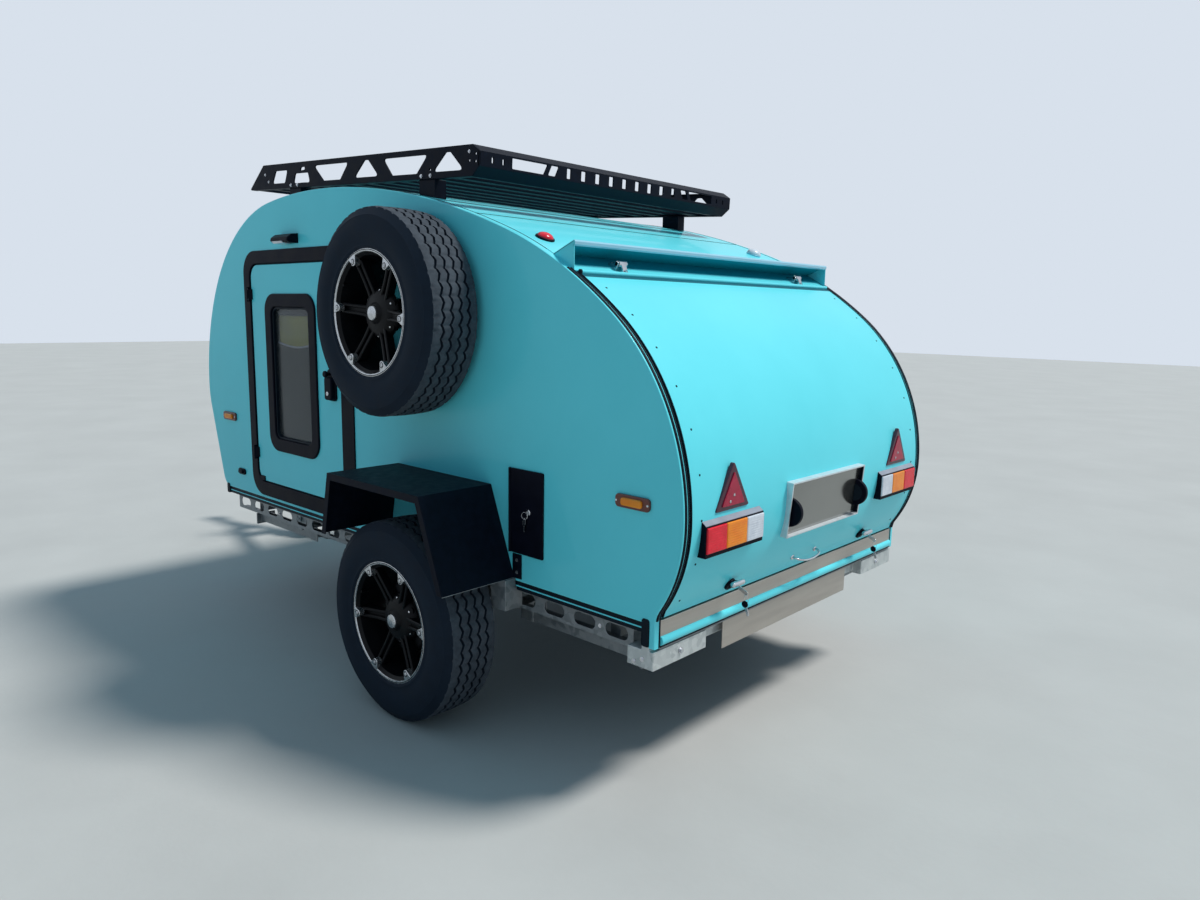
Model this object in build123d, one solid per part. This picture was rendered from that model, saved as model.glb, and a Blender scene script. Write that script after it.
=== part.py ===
from build123d import *
import math
import os

os.makedirs("parts", exist_ok=True)

# Teardrop camping trailer. Lengths are mm: +X towards the hitch, +Y to the left, +Z up from the ground.
# Places along the trailer are measured from the rear lower corner of the side wall. The last lines move
# the whole trailer so that X = 0 is the middle of its length.

# Body shell
body_width = 1540
wall_thick = 28
roof_thick = 28
board_thick = 15        # boards inside
sill_z = 520            # lower edge of the side walls
floor_thick = 25
tail_foot_x = -52       # rear edge of the side wall at its foot
tail_foot_z = 450
tail_strip = 20         # width of the wall's tail below the sill
tail_straight = 78      # straight rise of the tail before it flares
toe_radius = 70         # lower front corner
flare_radius = 60
tail_radius = 450
hatch_radius = 715
roof_rear_radius = 1545
roof_radius = 3330
crown_radius = 2520
brow_radius = 745
nose_radius = 880
chin_radius = 300

# Splits of the shell
hatch_top_x = 296       # seam between hatch and roof
hatch_low_z = 534
roof_seam_x = 740       # crosswise seam of the roof
nose_seam_z = 1180      # seam between roof and front panel
panel_gap = 5           # gap round a panel that moves
seat_gap = 0.3          # play of a piece on its seat
bulkhead_x = 560
counter_z = 930
counter_rear_x = 40
counter_side_gap = 12

# Rubber strip under the side walls
trim_height = 14
trim_cap = 30           # length of its end caps

# Hatch hinge and the rain hood over it
pivot_ahead = 12        # hinge pin ahead of the seam
pivot_rise = 22         # and above the roof there
hinge_pin_radius = 6
hinge_tube_wall = 5
hatch_hinge_y = 529
hatch_hinge_half = 20
hinge_ear_thick = 7
hinge_strap = 34        # reach of the hatch's strap behind the pin
hood_front_x = 384
hood_lip_x = 300
hood_rise = 86          # lip above the roof's skin there
hood_sheet = 3
hood_side_inset = 26

# Door, the same on both sides
door_rear_x = 1525      # opening in the frame
door_length = 720
door_low_z = 595
door_height = 956
door_radius = 60
frame_band = 54         # visible band of the frame round the opening
frame_latch_band = 88   # band on the latch side
frame_foot_band = 62
frame_radius = 96
frame_proud = 5
frame_lap = 9           # how far a frame's flange covers the panel round it
window_rear_gap = 175   # window behind the latch edge of the door's opening
window_length = 414
window_low_gap = 157
window_height = 672
window_radius = 72
window_band = 54
window_hole_radius = 36
window_proud = 8
glass_thick = 6
handle_gap = 62         # handle's middle from the latch edge
handle_z = 1070
handle_half = 34
handle_height = 124
handle_base = 8
handle_depth = 34
door_hinge_radius = 6
door_hinge_pin = 3
door_hinge_height = 60
door_hinge_web = 24
door_hinge_ear = 16
door_hinge_inset = 130  # hinge's middle from the opening's ends
door_ear_height = 12

# Service flap behind the left wheel
flap_rear_x = 389
flap_length = 156
flap_low_z = 614
flap_height = 272
flap_proud = 6
flap_hinge_radius = 4.5
flap_pin = 2
flap_ear_height = 20
flap_ear_gap = 1

# Wheels
axle_x = 895
tyre_radius = 340
tyre_width = 215
tyre_wall_gap = 27.5    # tyre's inner side to the side wall
rim_radius = 208        # edge of the rim's flange
rim_width = 196
rim_lip = 16            # bead seat below the flange
rim_wall = 6
rim_drop = 20           # well of the barrel below the bead seat
spoke_count = 6
spoke_pad = 40
hub_radius = 62
cap_radius = 34
wheel_face_in = 40      # spokes' outer face behind the flange's plane
disc_thick = 24
bead_fit = 0.3          # tyre on the rim's bead seat
drum_radius = 118
drum_width = 70
spindle_radius = 24

# Fenders of folded sheet
fender_top_z = 818
fender_top_length = 518
fender_sheet = 3
fender_over = 44.5      # fender's outer edge past the tyre
fender_rear_reach = 371 # rear foot behind the axle
fender_rear_low_z = 530
fender_fore_reach = 307
fender_fore_low_z = 598
fender_lip = 24
fender_tab_height = 80
fender_tab = 36         # tab on the wall behind the rear foot

# Chassis
rail_low_z = 420
rail_height = 68
rail_width = 42
rail_inset = 28         # rail's outer face inside the wall's
rail_sheet = 3
rail_rear_x = 45
rail_front_x = 2520
slot_length = 88
slot_height = 40
slot_pitch = 130
corner_box_length = 255
corner_box_top_z = 440
corner_box_low_z = 385
valance_half = 405
valance_low_z = 345
valance_x = -33
sill_plate_low_z = 455
sill_plate_thick = 14
sill_lip_radius = 9
axle_tube = 60
arm_reach = 140         # wheel centre behind the axle tube
arm_thick = 22
arm_height = 50
draw_rear_x = 1690
draw_tip_x = 3560
draw_tip_y = 42
draw_width = 55
draw_height = 60
draw_sheet = 4
draw_rear_inset = 142   # drawbar's rear end inside the rail's outer face
ball_x = 3850
ball_z = 428
ball_radius = 25
ball_play = 0.5

# Jockey wheel
jockey_x = 3330
jockey_tube = 30        # outer tube radius
jockey_leg = 24         # inner tube radius
jockey_wheel = 105
jockey_width = 56
jockey_trail = 45
jockey_top_z = 790

# Corner steadies: columns name, hinge_x, foot direction, side
steady_rows = (
    ("steady_front_left", 1960, 1, 1),
    ("steady_front_right", 1960, 1, -1),
    ("steady_rear_left", 570, -1, 1),
    ("steady_rear_right", 570, -1, -1),
)
steady_length = 505
steady_inset = 102      # steady's middle inside the rail's outer face
steady_drop = 55        # hinge below the rail
steady_pin = 6

# Spare wheel on the left wall
spare_x = 1000
spare_z = 1356
spare_gap = 6.5         # tyre to the wall
spare_plate = 180

# Roof rack, measured level before it is tilted about its rear lower edge
rack_inset = 62         # side plate inside the wall's outer face
rack_rear_x = 765
rack_length = 1573
rack_height = 100
rack_rear_z = 1797
rack_tilt = 2.8
rack_sheet = 6
rack_front_slant = 126
rack_tail_x = 37        # chamfers of the side plate's rear end
rack_tail_low = 31
rack_tail_top = 22
slat_count = 14
slat_width = 46
slat_thick = 16
slat_low = 4
foot_ahead = (285, 1185)
foot_half = 45
foot_width = 48

# Hatch fittings
lamp_inner_y = 398
lamp_outer_y = 688
lamp_low_z = 716
lamp_height = 100
lamp_depth = 18
lens_proud = 5
triangle_y = 545
triangle_low_z = 832
triangle_height = 136
triangle_half = 84
triangle_thick = 12
tray_half = 243
tray_low_z = 688
tray_height = 178
tray_depth = 16         # rim to skin at half height
tray_lean = 5           # top towards the rear, degrees
tray_border = 5
tray_sink = 14          # the plate's face behind the rim
plate_lamp_radius = 46
plate_lamp_low = 9      # its middle below the tray's
plate_lamp_out_y = 229
plate_lamp_wide = 14
latch_y = 433
latch_z = 578
latch_reach = 26
pull_z = 572
pull_half = 81
pull_reach = 40

# Lamps of the body: marker columns x, z of the middle
marker_rows = ((33, 856), (2503, 862))
marker_half = 62
marker_height = 38
marker_depth = 16
dome_spots = ((500, 668), (573, -620))
dome_radius = 31
dome_rise = 20
front_lamp_z = 980
front_lamp_y = 700
front_lamp_half = 12
front_lamp_rise = 24
front_lamp_depth = 12
porch_half = 70
porch_gap = 19
porch_height = 38
porch_depth = 50

# Sizes that follow
half_width = body_width / 2
inner_y = half_width - wall_thick
floor_top_z = sill_z + floor_thick
track = body_width + 2 * tyre_wall_gap + tyre_width
fender_out_y = track / 2 + tyre_width / 2 + fender_over
rail_out_y = half_width - rail_inset
rail_in_y = rail_out_y - rail_width
steady_y = rail_out_y - steady_inset
steady_z = rail_low_z - steady_drop
spare_y = half_width + spare_gap + tyre_width / 2
door_front_x = door_rear_x + door_length
door_top_z = door_low_z + door_height
trim_low_z = sill_z - trim_height
flap_front_x = flap_rear_x + flap_length
flap_top_z = flap_low_z + flap_height
far = 5000

# Side outline from the tail's foot up and over the roof: turn in degrees (left is plus), radius
profile = (
    (34, flare_radius),
    (-34, tail_radius),
    (-51, hatch_radius),
    (-19, roof_rear_radius),
    (-20, roof_radius),
    (-8, crown_radius),
    (-50, brow_radius),
    (-32, nose_radius),
    (-16.5, chin_radius),
)


def rad(angle):
    return math.radians(angle)


def block(x0, x1, y0, y1, z0, z1):
    """Box between two corners."""
    return Pos((x0 + x1) / 2, (y0 + y1) / 2, (z0 + z1) / 2) * Box(abs(x1 - x0), abs(y1 - y0), abs(z1 - z0))


def rod(start, end, radius):
    """Round bar between two points."""
    line = Line(start, end)
    return extrude(Plane(origin=start, z_dir=line % 0) * Circle(radius), amount=line.length)


def bar(start, end, width, height, sheet=0):
    """Level box section between two points of one height, hollow when a sheet thickness is given."""
    length = math.dist(start, end)
    middle = [(a + b) / 2 for a, b in zip(start, end)]
    turn = math.degrees(math.atan2(end[1] - start[1], end[0] - start[0]))
    shape = Box(length, width, height)
    if sheet:
        shape -= Box(length, width - 2 * sheet, height - 2 * sheet)
    return Pos(*middle) * Rot(0, 0, turn) * shape


def side_face(points):
    """Flat face in the XZ plane from its corners."""
    return make_face(Polyline([(x, 0, z) for x, z in points], close=True))


def across(face, y0, y1):
    """A face of the XZ plane, thickened from y0 to y1."""
    return extrude(Pos(0, y0, 0) * face, amount=y1 - y0, dir=(0, 1, 0))


def plan_plate(points, z0, z1):
    """Plate with its corners given in plan."""
    face = make_face(Polyline([(x, y, z0) for x, y in points], close=True))
    return extrude(face, amount=z1 - z0, dir=(0, 0, 1))


def rounded(x0, x1, z0, z1, radius, y0, y1):
    """Upright plate with round corners."""
    plate = block(x0, x1, y0, y1, z0, z1)
    return fillet(plate.edges().filter_by(Axis.Y), radius)


def mirrored(shape):
    return mirror(shape, Plane.XZ)


def body_outline(inset=0.0):
    """Edges from the tail's foot to the front's lower edge, moved inwards by inset, and their arcs."""
    x, z, heading = tail_foot_x + inset, tail_foot_z, 90.0
    edges = [Line((x, 0, z), (x, 0, z + tail_straight))]
    arcs = []
    z += tail_straight
    for turn, radius in profile:
        side = math.copysign(1, turn)
        radius += side * inset
        cx = x - side * radius * math.sin(rad(heading))
        cz = z + side * radius * math.cos(rad(heading))
        stops = []
        for share in (0.5, 1):
            h = rad(heading + share * turn)
            stops.append((cx + side * radius * math.sin(h), 0, cz - side * radius * math.cos(h)))
        edges.append(ThreePointArc((x, 0, z), *stops))
        arcs.append((cx, cz, radius, heading, heading + turn))
        x, z, heading = stops[1][0], stops[1][2], heading + turn
    down = rad(-heading)
    foot_x = x + (z - sill_z) * math.cos(down) / math.sin(down)
    if inset:
        edges.append(Line((x, 0, z), (foot_x, 0, sill_z)))
        return edges, arcs
    back = toe_radius * math.tan(rad((180 + heading) / 2))
    start = (foot_x - back * math.cos(down), 0, sill_z + back * math.sin(down))
    finish = (foot_x - back, 0, sill_z)
    edges.append(Line((x, 0, z), start))
    edges.append(TangentArc(start, finish, tangent=(math.cos(down), 0, -math.sin(down))))
    return edges, arcs


def outline_face(inset=0.0):
    """The outline closed along the sill and down the tail."""
    edges, _ = body_outline(inset)
    first, last = edges[0] @ 0, edges[-1] @ 1
    tail_x = tail_foot_x + max(tail_strip, inset + 1)
    close = Polyline(last, (tail_x, 0, sill_z), (tail_x, 0, tail_foot_z), first)
    return make_face(edges + list(close.edges()))


outer_edges, outer_arcs = body_outline()


def skin_x(z):
    """Rear surface of the tail or hatch at a height."""
    for cx, cz, radius, h0, h1 in outer_arcs[1:3]:
        share = (z - cz) / radius
        if -1 < share < 1 and h1 <= math.degrees(math.acos(share)) <= h0:
            return cx - radius * math.sqrt(1 - share * share)
    raise ValueError("no skin at this height")


def roof_z(x):
    """Roof surface at a place along it."""
    for cx, cz, radius, h0, h1 in outer_arcs[2:8]:
        share = (cx - x) / radius
        if -1 < share < 1 and h1 <= math.degrees(math.asin(share)) <= h0:
            return cz + radius * math.sqrt(1 - share * share)
    raise ValueError("no roof at this place")


nodes = {}


def node(name, *shapes):
    """Keep the solids of one piece, or of like pieces, under its name."""
    nodes[name] = list(shapes)


def both(shape):
    """A piece and its mirror image."""
    return shape, mirrored(shape)


# Side walls, roof, front, floor and inside boards

body_block = across(outline_face(), -half_width, half_width)
inside_face = outline_face(roof_thick)
inside = across(inside_face, -inner_y, inner_y)
front_x = (outer_edges[-1] @ 1).X

frame_rear_x = door_rear_x - frame_latch_band
frame_front_x = door_front_x + frame_band
frame_low_z = door_low_z - frame_foot_band
frame_top_z = door_top_z + frame_band


def lapped(x0, x1, z0, z1, radius, y0, y1):
    """Plate inside a flange: smaller all round by the lap."""
    return rounded(x0 + frame_lap, x1 - frame_lap, z0 + frame_lap, z1 - frame_lap, radius - frame_lap, y0, y1)


frame_sizes = (frame_rear_x, frame_front_x, frame_low_z, frame_top_z, frame_radius)
flap_sizes = (flap_rear_x, flap_front_x, flap_low_z, flap_top_z)
wall = across(outline_face(), inner_y, half_width) - lapped(*frame_sizes, inner_y - 1, half_width + 1)
flap_hole = block(flap_rear_x + frame_lap, flap_front_x - frame_lap, inner_y - 1, half_width + 1,
                  flap_low_z + frame_lap, flap_top_z - frame_lap)
node("side_wall_left", wall - flap_hole)
node("side_wall_right", mirrored(wall))

shell = across(outline_face(), -inner_y, inner_y) - inside
node("roof_rear", shell & block(hatch_top_x + panel_gap, roof_seam_x, -far, far, nose_seam_z, far))
node("roof_front", shell & block(roof_seam_x, far, -far, far, nose_seam_z, far))
node("front_panel", shell & block(roof_seam_x, far, -far, far, sill_z + 1, nose_seam_z))
node("floor", block(tail_foot_x + sill_plate_thick, far, -inner_y, inner_y, sill_z, floor_top_z) & inside)
node("bulkhead", block(bulkhead_x, bulkhead_x + board_thick, -inner_y, inner_y, floor_top_z, far) & inside)
counter_half = inner_y - counter_side_gap
carcass_x = 2 * counter_rear_x
counter = block(counter_rear_x, bulkhead_x, -counter_half, counter_half, counter_z - board_thick, counter_z)
counter += block(carcass_x, carcass_x + board_thick, -counter_half, counter_half, floor_top_z, counter_z)
node("galley_counter", counter)

# Hatch panel between the side walls, its hinges and the rain hood

hatch_half = inner_y - panel_gap - 1
hatch_panel = across(outline_face(), -hatch_half, hatch_half) - inside
node("hatch_panel", hatch_panel & block(-far, hatch_top_x, -far, far, hatch_low_z, far))

pivot_x = hatch_top_x + pivot_ahead
pivot_z = roof_z(pivot_x) + pivot_rise
hinge_places = (-hatch_hinge_y, hatch_hinge_y)
hinge_out = hinge_pin_radius + hinge_tube_wall
hinge_rail = []
hatch_hinges = []
for y in hinge_places:
    pin = rod((pivot_x, y - hatch_hinge_half - hinge_ear_thick, pivot_z),
              (pivot_x, y + hatch_hinge_half + hinge_ear_thick, pivot_z), hinge_pin_radius)
    for side in (-1, 1):
        y0 = y + side * (hatch_hinge_half + 1)
        y1 = y + side * (hatch_hinge_half + hinge_ear_thick)
        ear = block(pivot_x - hinge_pin_radius - 2, pivot_x + 34, y0, y1, pivot_z - 80, pivot_z + 9)
        pin += ear - body_block
    hinge_rail.append(pin)
    tube = rod((pivot_x, y - hatch_hinge_half, pivot_z), (pivot_x, y + hatch_hinge_half, pivot_z), hinge_out)
    strap = across(side_face((
        (pivot_x, pivot_z + hinge_out), (pivot_x, pivot_z - hinge_out), (pivot_x - 15, pivot_z - 22),
        (pivot_x - hinge_strap + 4, pivot_z - 60), (pivot_x - hinge_strap, pivot_z - 28),
        (pivot_x - 12, pivot_z + 4),
    )), y - hatch_hinge_half, y + hatch_hinge_half)
    bore = rod((pivot_x, y - hatch_hinge_half - 1, pivot_z), (pivot_x, y + hatch_hinge_half + 1, pivot_z),
               hinge_pin_radius + seat_gap)
    hatch_hinges.append(tube + (strap - body_block) - bore)
node("hinge_rail", *hinge_rail)
node("hatch_hinges", *hatch_hinges)

hood_lip_z = roof_z(hood_lip_x) + hood_rise
hood_half = half_width - hood_side_inset
hood_line = ((hood_front_x, roof_z(hood_front_x) + 2), (hood_lip_x, hood_lip_z))
hood_end = ((hood_front_x, roof_z(hood_front_x) - 40), *hood_line, (hood_lip_x, roof_z(hood_lip_x) - 2))
hood = across(side_face((*hood_line, (hood_lip_x, hood_lip_z - hood_sheet),
                         (hood_front_x, roof_z(hood_front_x) - hood_sheet))), -hood_half, hood_half)
for side in (-1, 1):
    y0, y1 = sorted((side * hood_half, side * (hood_half - hood_sheet)))
    hood += across(side_face(hood_end), y0, y1)
node("hatch_hood", hood - body_block)

# Door frames, doors, windows and handles

window_rear_x = door_rear_x + window_rear_gap
window_front_x = window_rear_x + window_length
window_low_z = door_low_z + window_low_gap
window_top_z = window_low_z + window_height
window_sizes = (window_rear_x, window_front_x, window_low_z, window_top_z, window_radius)
glass_sizes = (window_rear_x + window_band, window_front_x - window_band, window_low_z + window_band,
               window_top_z - window_band, window_hole_radius)
handle_x = door_rear_x + handle_gap
door_hinge_x = door_front_x + 4
door_hinge_y = half_width + frame_proud + door_hinge_radius + 1
door_hinge_z = (door_low_z + door_hinge_inset, door_top_z - door_hinge_inset)
flap_hinge_x = flap_front_x - flap_hinge_radius
flap_hinge_y = half_width + flap_hinge_radius + seat_gap


def door_frame():
    flange = rounded(*frame_sizes, half_width, half_width + frame_proud)
    hole = rounded(door_rear_x, door_front_x, door_low_z, door_top_z, door_radius, inner_y - 1, far)
    return flange + lapped(*frame_sizes, inner_y, half_width) - hole


def door_leaf():
    leaf = rounded(door_rear_x + panel_gap, door_front_x - panel_gap, door_low_z + panel_gap,
                   door_top_z - panel_gap, door_radius - panel_gap, inner_y, half_width)
    return leaf - lapped(*window_sizes, inner_y - 1, half_width + 1)


def window_frame():
    flange = rounded(*window_sizes, half_width, half_width + window_proud)
    hole = rounded(*glass_sizes, inner_y - 1, half_width + window_proud + 1)
    return flange + lapped(*window_sizes, inner_y, half_width) - hole


def window_glass():
    middle = half_width - wall_thick / 2
    return rounded(*glass_sizes, middle - glass_thick / 2, middle + glass_thick / 2)


def door_handle():
    low_z = handle_z - handle_height / 2
    top_z = handle_z + handle_height / 2
    base = rounded(handle_x - handle_half, handle_x + handle_half, low_z, top_z, 12,
                   half_width, half_width + handle_base)
    grip = rounded(handle_x - 26, handle_x + 8, low_z + 36, top_z - 10, 8,
                   half_width + handle_base, half_width + handle_depth)
    return base + grip


def door_hinge_ears(z):
    """Pin and ears on the frame's front band."""
    low, top = z - door_hinge_height / 2, z + door_hinge_height / 2
    pin = rod((door_hinge_x, door_hinge_y, low - 1), (door_hinge_x, door_hinge_y, top + 1), door_hinge_pin)
    for z0, z1 in ((low - door_ear_height, low - 0.5), (top + 0.5, top + door_ear_height)):
        pin += rod((door_hinge_x, door_hinge_y, z0), (door_hinge_x, door_hinge_y, z1), door_hinge_radius)
        pin += block(door_hinge_x, door_hinge_x + door_hinge_ear, half_width + frame_proud, door_hinge_y,
                     z0, z1)
    return pin


def door_knuckle(z):
    """Strap on the leaf with the knuckle round the pin."""
    low, top = z - door_hinge_height / 2, z + door_hinge_height / 2
    web = (
        (door_front_x - door_hinge_web, half_width), (door_front_x - door_hinge_web, half_width + 4),
        (door_front_x - 12, half_width + 4), (door_hinge_x - 3, door_hinge_y + door_hinge_radius - 1),
        (door_hinge_x, door_hinge_y), (door_hinge_x - door_hinge_radius, door_hinge_y - 2),
        (door_front_x - panel_gap, half_width),
    )
    strap = plan_plate(web, low, top)
    strap += rod((door_hinge_x, door_hinge_y, low), (door_hinge_x, door_hinge_y, top), door_hinge_radius)
    bore = rod((door_hinge_x, door_hinge_y, low - 1), (door_hinge_x, door_hinge_y, top + 1),
               door_hinge_pin + seat_gap)
    return strap - bore


def flap_pin_and_ears():
    pin = rod((flap_hinge_x, flap_hinge_y, flap_low_z), (flap_hinge_x, flap_hinge_y, flap_top_z), flap_pin)
    for z0, z1 in ((flap_low_z, flap_low_z + flap_ear_height), (flap_top_z - flap_ear_height, flap_top_z)):
        pin += rod((flap_hinge_x, flap_hinge_y, z0), (flap_hinge_x, flap_hinge_y, z1), flap_hinge_radius)
        pin += block(flap_hinge_x - 2, flap_front_x, half_width, flap_hinge_y, z0, z1)
    return pin


frame = door_frame()
leaf = door_leaf()
for z in door_hinge_z:
    frame += door_hinge_ears(z)
    leaf += door_knuckle(z)
node("door_frames", *both(frame), flap_pin_and_ears())
door_pieces = (("door_leaf", leaf), ("door_window_frame", window_frame()),
               ("door_glass", window_glass()), ("door_handle", door_handle()))
for piece, shape in door_pieces:
    node(piece + "_left", shape)
    node(piece + "_right", mirrored(shape))

# Service flap, hinged at its front edge

knuckle_low = flap_low_z + flap_ear_height + 1
knuckle_top = flap_top_z - flap_ear_height - 1
flap_out_y = half_width + flap_proud
flap_plate_x = flap_hinge_x - flap_hinge_radius - flap_ear_gap
flap = block(flap_rear_x, flap_plate_x, half_width + seat_gap, flap_out_y, flap_low_z, flap_top_z)
flap += block(flap_plate_x - 1, flap_hinge_x, half_width + seat_gap, flap_out_y, knuckle_low, knuckle_top)
flap += rod((flap_hinge_x, flap_hinge_y, knuckle_low), (flap_hinge_x, flap_hinge_y, knuckle_top),
            flap_hinge_radius)
flap -= rod((flap_hinge_x, flap_hinge_y, knuckle_low - 1), (flap_hinge_x, flap_hinge_y, knuckle_top + 1),
            flap_pin + seat_gap)
node("service_flap", flap)

# Rubber: hatch seals, the strips under the walls and their end caps

seal_ring = across(outline_face(2), hatch_half + 0.5, inner_y) - across(outline_face(16), -far, far)
seal_left = seal_ring & block(-far, hatch_top_x, -far, far, hatch_low_z, far)
trim_end_x = front_x - 10
trim_rear_x = tail_foot_x + tail_strip
trim_left = block(trim_rear_x, trim_end_x, inner_y, half_width - 4, trim_low_z, sill_z)
for x in (trim_rear_x, trim_end_x - trim_cap):
    trim_left += block(x, x + trim_cap, half_width - 6, half_width, trim_low_z - 4, sill_z)
node("body_seals", *both(seal_left), *both(trim_left))

# Wheels

bead = rim_radius - rim_lip


def tyre_shape():
    half = tyre_width / 2
    side = ((bead, half - 26), (rim_radius + 1, half - 18.5), (bead + 28, half - 4), (bead + 62, half),
            (bead + 100, half - 8), (tyre_radius - 14, half - 20), (tyre_radius - 4, half - 31),
            (tyre_radius, half - 44))
    points = [(r, -y) for r, y in side] + list(reversed(side))
    face = make_face(Polyline([(r, y, 0) for r, y in points], close=True))
    return revolve(face, Axis.Y, 360)


def rim_shape():
    half = rim_width / 2
    seat = bead - bead_fit
    side = ((rim_radius, half), (rim_radius, half - 8), (seat, half - 14), (seat, half - 40),
            (bead - rim_drop, 10))
    outer = [(r, -y) for r, y in side] + list(reversed(side))
    well = bead - rim_drop - rim_wall
    wall = [(rim_radius - 10, half), (seat - rim_wall, half - 14), (seat - rim_wall, half - 38), (well, 14)]
    inner = wall + [(r, -y) for r, y in reversed(wall)]
    barrel = revolve(make_face(Polyline([(r, y, 0) for r, y in outer + inner], close=True)), Axis.Y, 360)
    face_y = half - wheel_face_in
    disc_radius = well + 14
    disc = Pos(0, face_y - disc_thick / 2, 0) * Rot(90, 0, 0) * Cylinder(disc_radius, disc_thick)
    window = make_face(Polyline(*[
        (r * math.cos(rad(a)), 0, r * math.sin(rad(a)))
        for r, a in ((hub_radius + 14, -18), (bead - 30, -21), (bead - 30, 21), (hub_radius + 14, 18))
    ], close=True))
    shape = barrel + disc
    for k in range(spoke_count):
        turn = 360 / spoke_count * k
        shape -= Rot(0, turn + 180 / spoke_count, 0) * across(window, face_y - 2 * disc_thick, half)
        pad = block(well - 12, seat + 1, half - 16, half - 4, -spoke_pad / 2, spoke_pad / 2)
        rib = across(side_face(((0, 9), (well - 6, 14), (well - 6, -14), (0, -9))), face_y - 1, half - 12)
        rib -= Rot(90, 0, 0) * Cylinder(hub_radius, 4 * rim_width)
        shape += Rot(0, turn, 0) * (pad + rib)
    return shape + Pos(0, face_y + 4, 0) * Rot(90, 0, 0) * Cylinder(cap_radius, 40)


def wheel_place(x, y, z, side):
    return Pos(x, y, z) * (Rot(0, 0, 0) if side > 0 else Rot(0, 0, 180))


disc_back = rim_width / 2 - wheel_face_in - disc_thick
drum_back = disc_back - seat_gap - drum_width
tyre = tyre_shape()
rim = rim_shape()
for name, side in (("left", 1), ("right", -1)):
    place = wheel_place(axle_x, side * track / 2, tyre_radius, side)
    drum = Pos(0, drum_back + drum_width / 2, 0) * Rot(90, 0, 0) * Cylinder(drum_radius, drum_width)
    node("rim_" + name, place * rim, place * drum)
    node("tyre_" + name, place * tyre)
spare_place = wheel_place(spare_x, spare_y, spare_z, 1)
node("spare_rim", spare_place * rim)
node("spare_tyre", spare_place * tyre)
carrier = block(spare_x - spare_plate / 2, spare_x + spare_plate / 2, half_width, half_width + 6,
                spare_z - spare_plate / 2, spare_z + spare_plate / 2)
carrier += rod((spare_x, half_width, spare_z), (spare_x, spare_y + disc_back, spare_z), 50)
node("spare_carrier", carrier)

# Fenders: folded top, front and rear plates with a lip along the outer edge, and a tab on the wall

fender_rear_x = axle_x - fender_rear_reach
fender_fore_x = axle_x + fender_fore_reach


def fender_line(depth):
    """Side line of the folded sheet, moved inwards."""
    rear_x = axle_x - fender_top_length / 2
    fore_x = axle_x + fender_top_length / 2
    rear_slope = math.atan2(rear_x - fender_rear_x, fender_top_z - fender_rear_low_z)
    fore_slope = math.atan2(fender_fore_x - fore_x, fender_top_z - fender_fore_low_z)
    rear_in = depth / math.cos(rear_slope)
    fore_in = depth / math.cos(fore_slope)
    top = fender_top_z - depth
    return (
        (fender_rear_x + rear_in, fender_rear_low_z),
        (rear_x + rear_in - depth * math.tan(rear_slope), top),
        (fore_x - fore_in + depth * math.tan(fore_slope), top),
        (fender_fore_x - fore_in, fender_fore_low_z),
    )


def fender_shape():
    outer = fender_line(0)
    skin = side_face((*outer, *reversed(fender_line(fender_sheet))))
    edge = side_face((*outer, *reversed(fender_line(fender_lip))))
    sheet = across(skin, half_width, fender_out_y)
    lip = across(edge, fender_out_y - fender_sheet, fender_out_y)
    tab = block(fender_rear_x - fender_tab, fender_rear_x + 6, half_width, half_width + fender_sheet,
                fender_rear_low_z, fender_rear_low_z + fender_tab_height)
    return sheet + lip + tab


node("fenders", *both(fender_shape()))
bracket_x = (fender_rear_x - 8, fender_rear_x + 62)
bracket_out_y = half_width + 45
bracket = block(*bracket_x, rail_out_y, bracket_out_y, rail_low_z + 8, sill_z - 20)
bracket += block(*bracket_x, half_width + 1, bracket_out_y, sill_z - 21, fender_rear_low_z - 1)

# Chassis: slotted rails, rear corner boxes, cross members and axle


def rail_shape():
    top = rail_low_z + rail_height
    rail = block(rail_rear_x, rail_front_x, rail_in_y, rail_out_y, rail_low_z, top)
    rail -= block(rail_rear_x - 1, rail_front_x + 1, rail_in_y - 1, rail_out_y - rail_sheet,
                  rail_low_z + rail_sheet, top - rail_sheet)
    middle = (rail_low_z + top) / 2
    for k in range(int((rail_front_x - rail_rear_x) / slot_pitch)):
        x = rail_rear_x + slot_pitch * (k + 0.5)
        rail -= rounded(x - slot_length / 2, x + slot_length / 2, middle - slot_height / 2,
                        middle + slot_height / 2, slot_height / 2 - 0.5, rail_out_y - 10, rail_out_y + 10)
    return rail


rails = both(rail_shape())
node("chassis_rails", *rails)
cross_rows = (150, 640, 1300, 1720, 2380)      # middles of the cross members under the floor
cross_half = 20
rail_top_z = rail_low_z + rail_height
members = [block(x - cross_half, x + cross_half, -rail_in_y, rail_in_y, rail_low_z, rail_top_z)
           for x in cross_rows]
packer = block(tail_foot_x + tail_strip, rail_front_x, rail_in_y, rail_out_y, rail_top_z, sill_z)
node("cross_members", *members, *both(packer))

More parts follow.
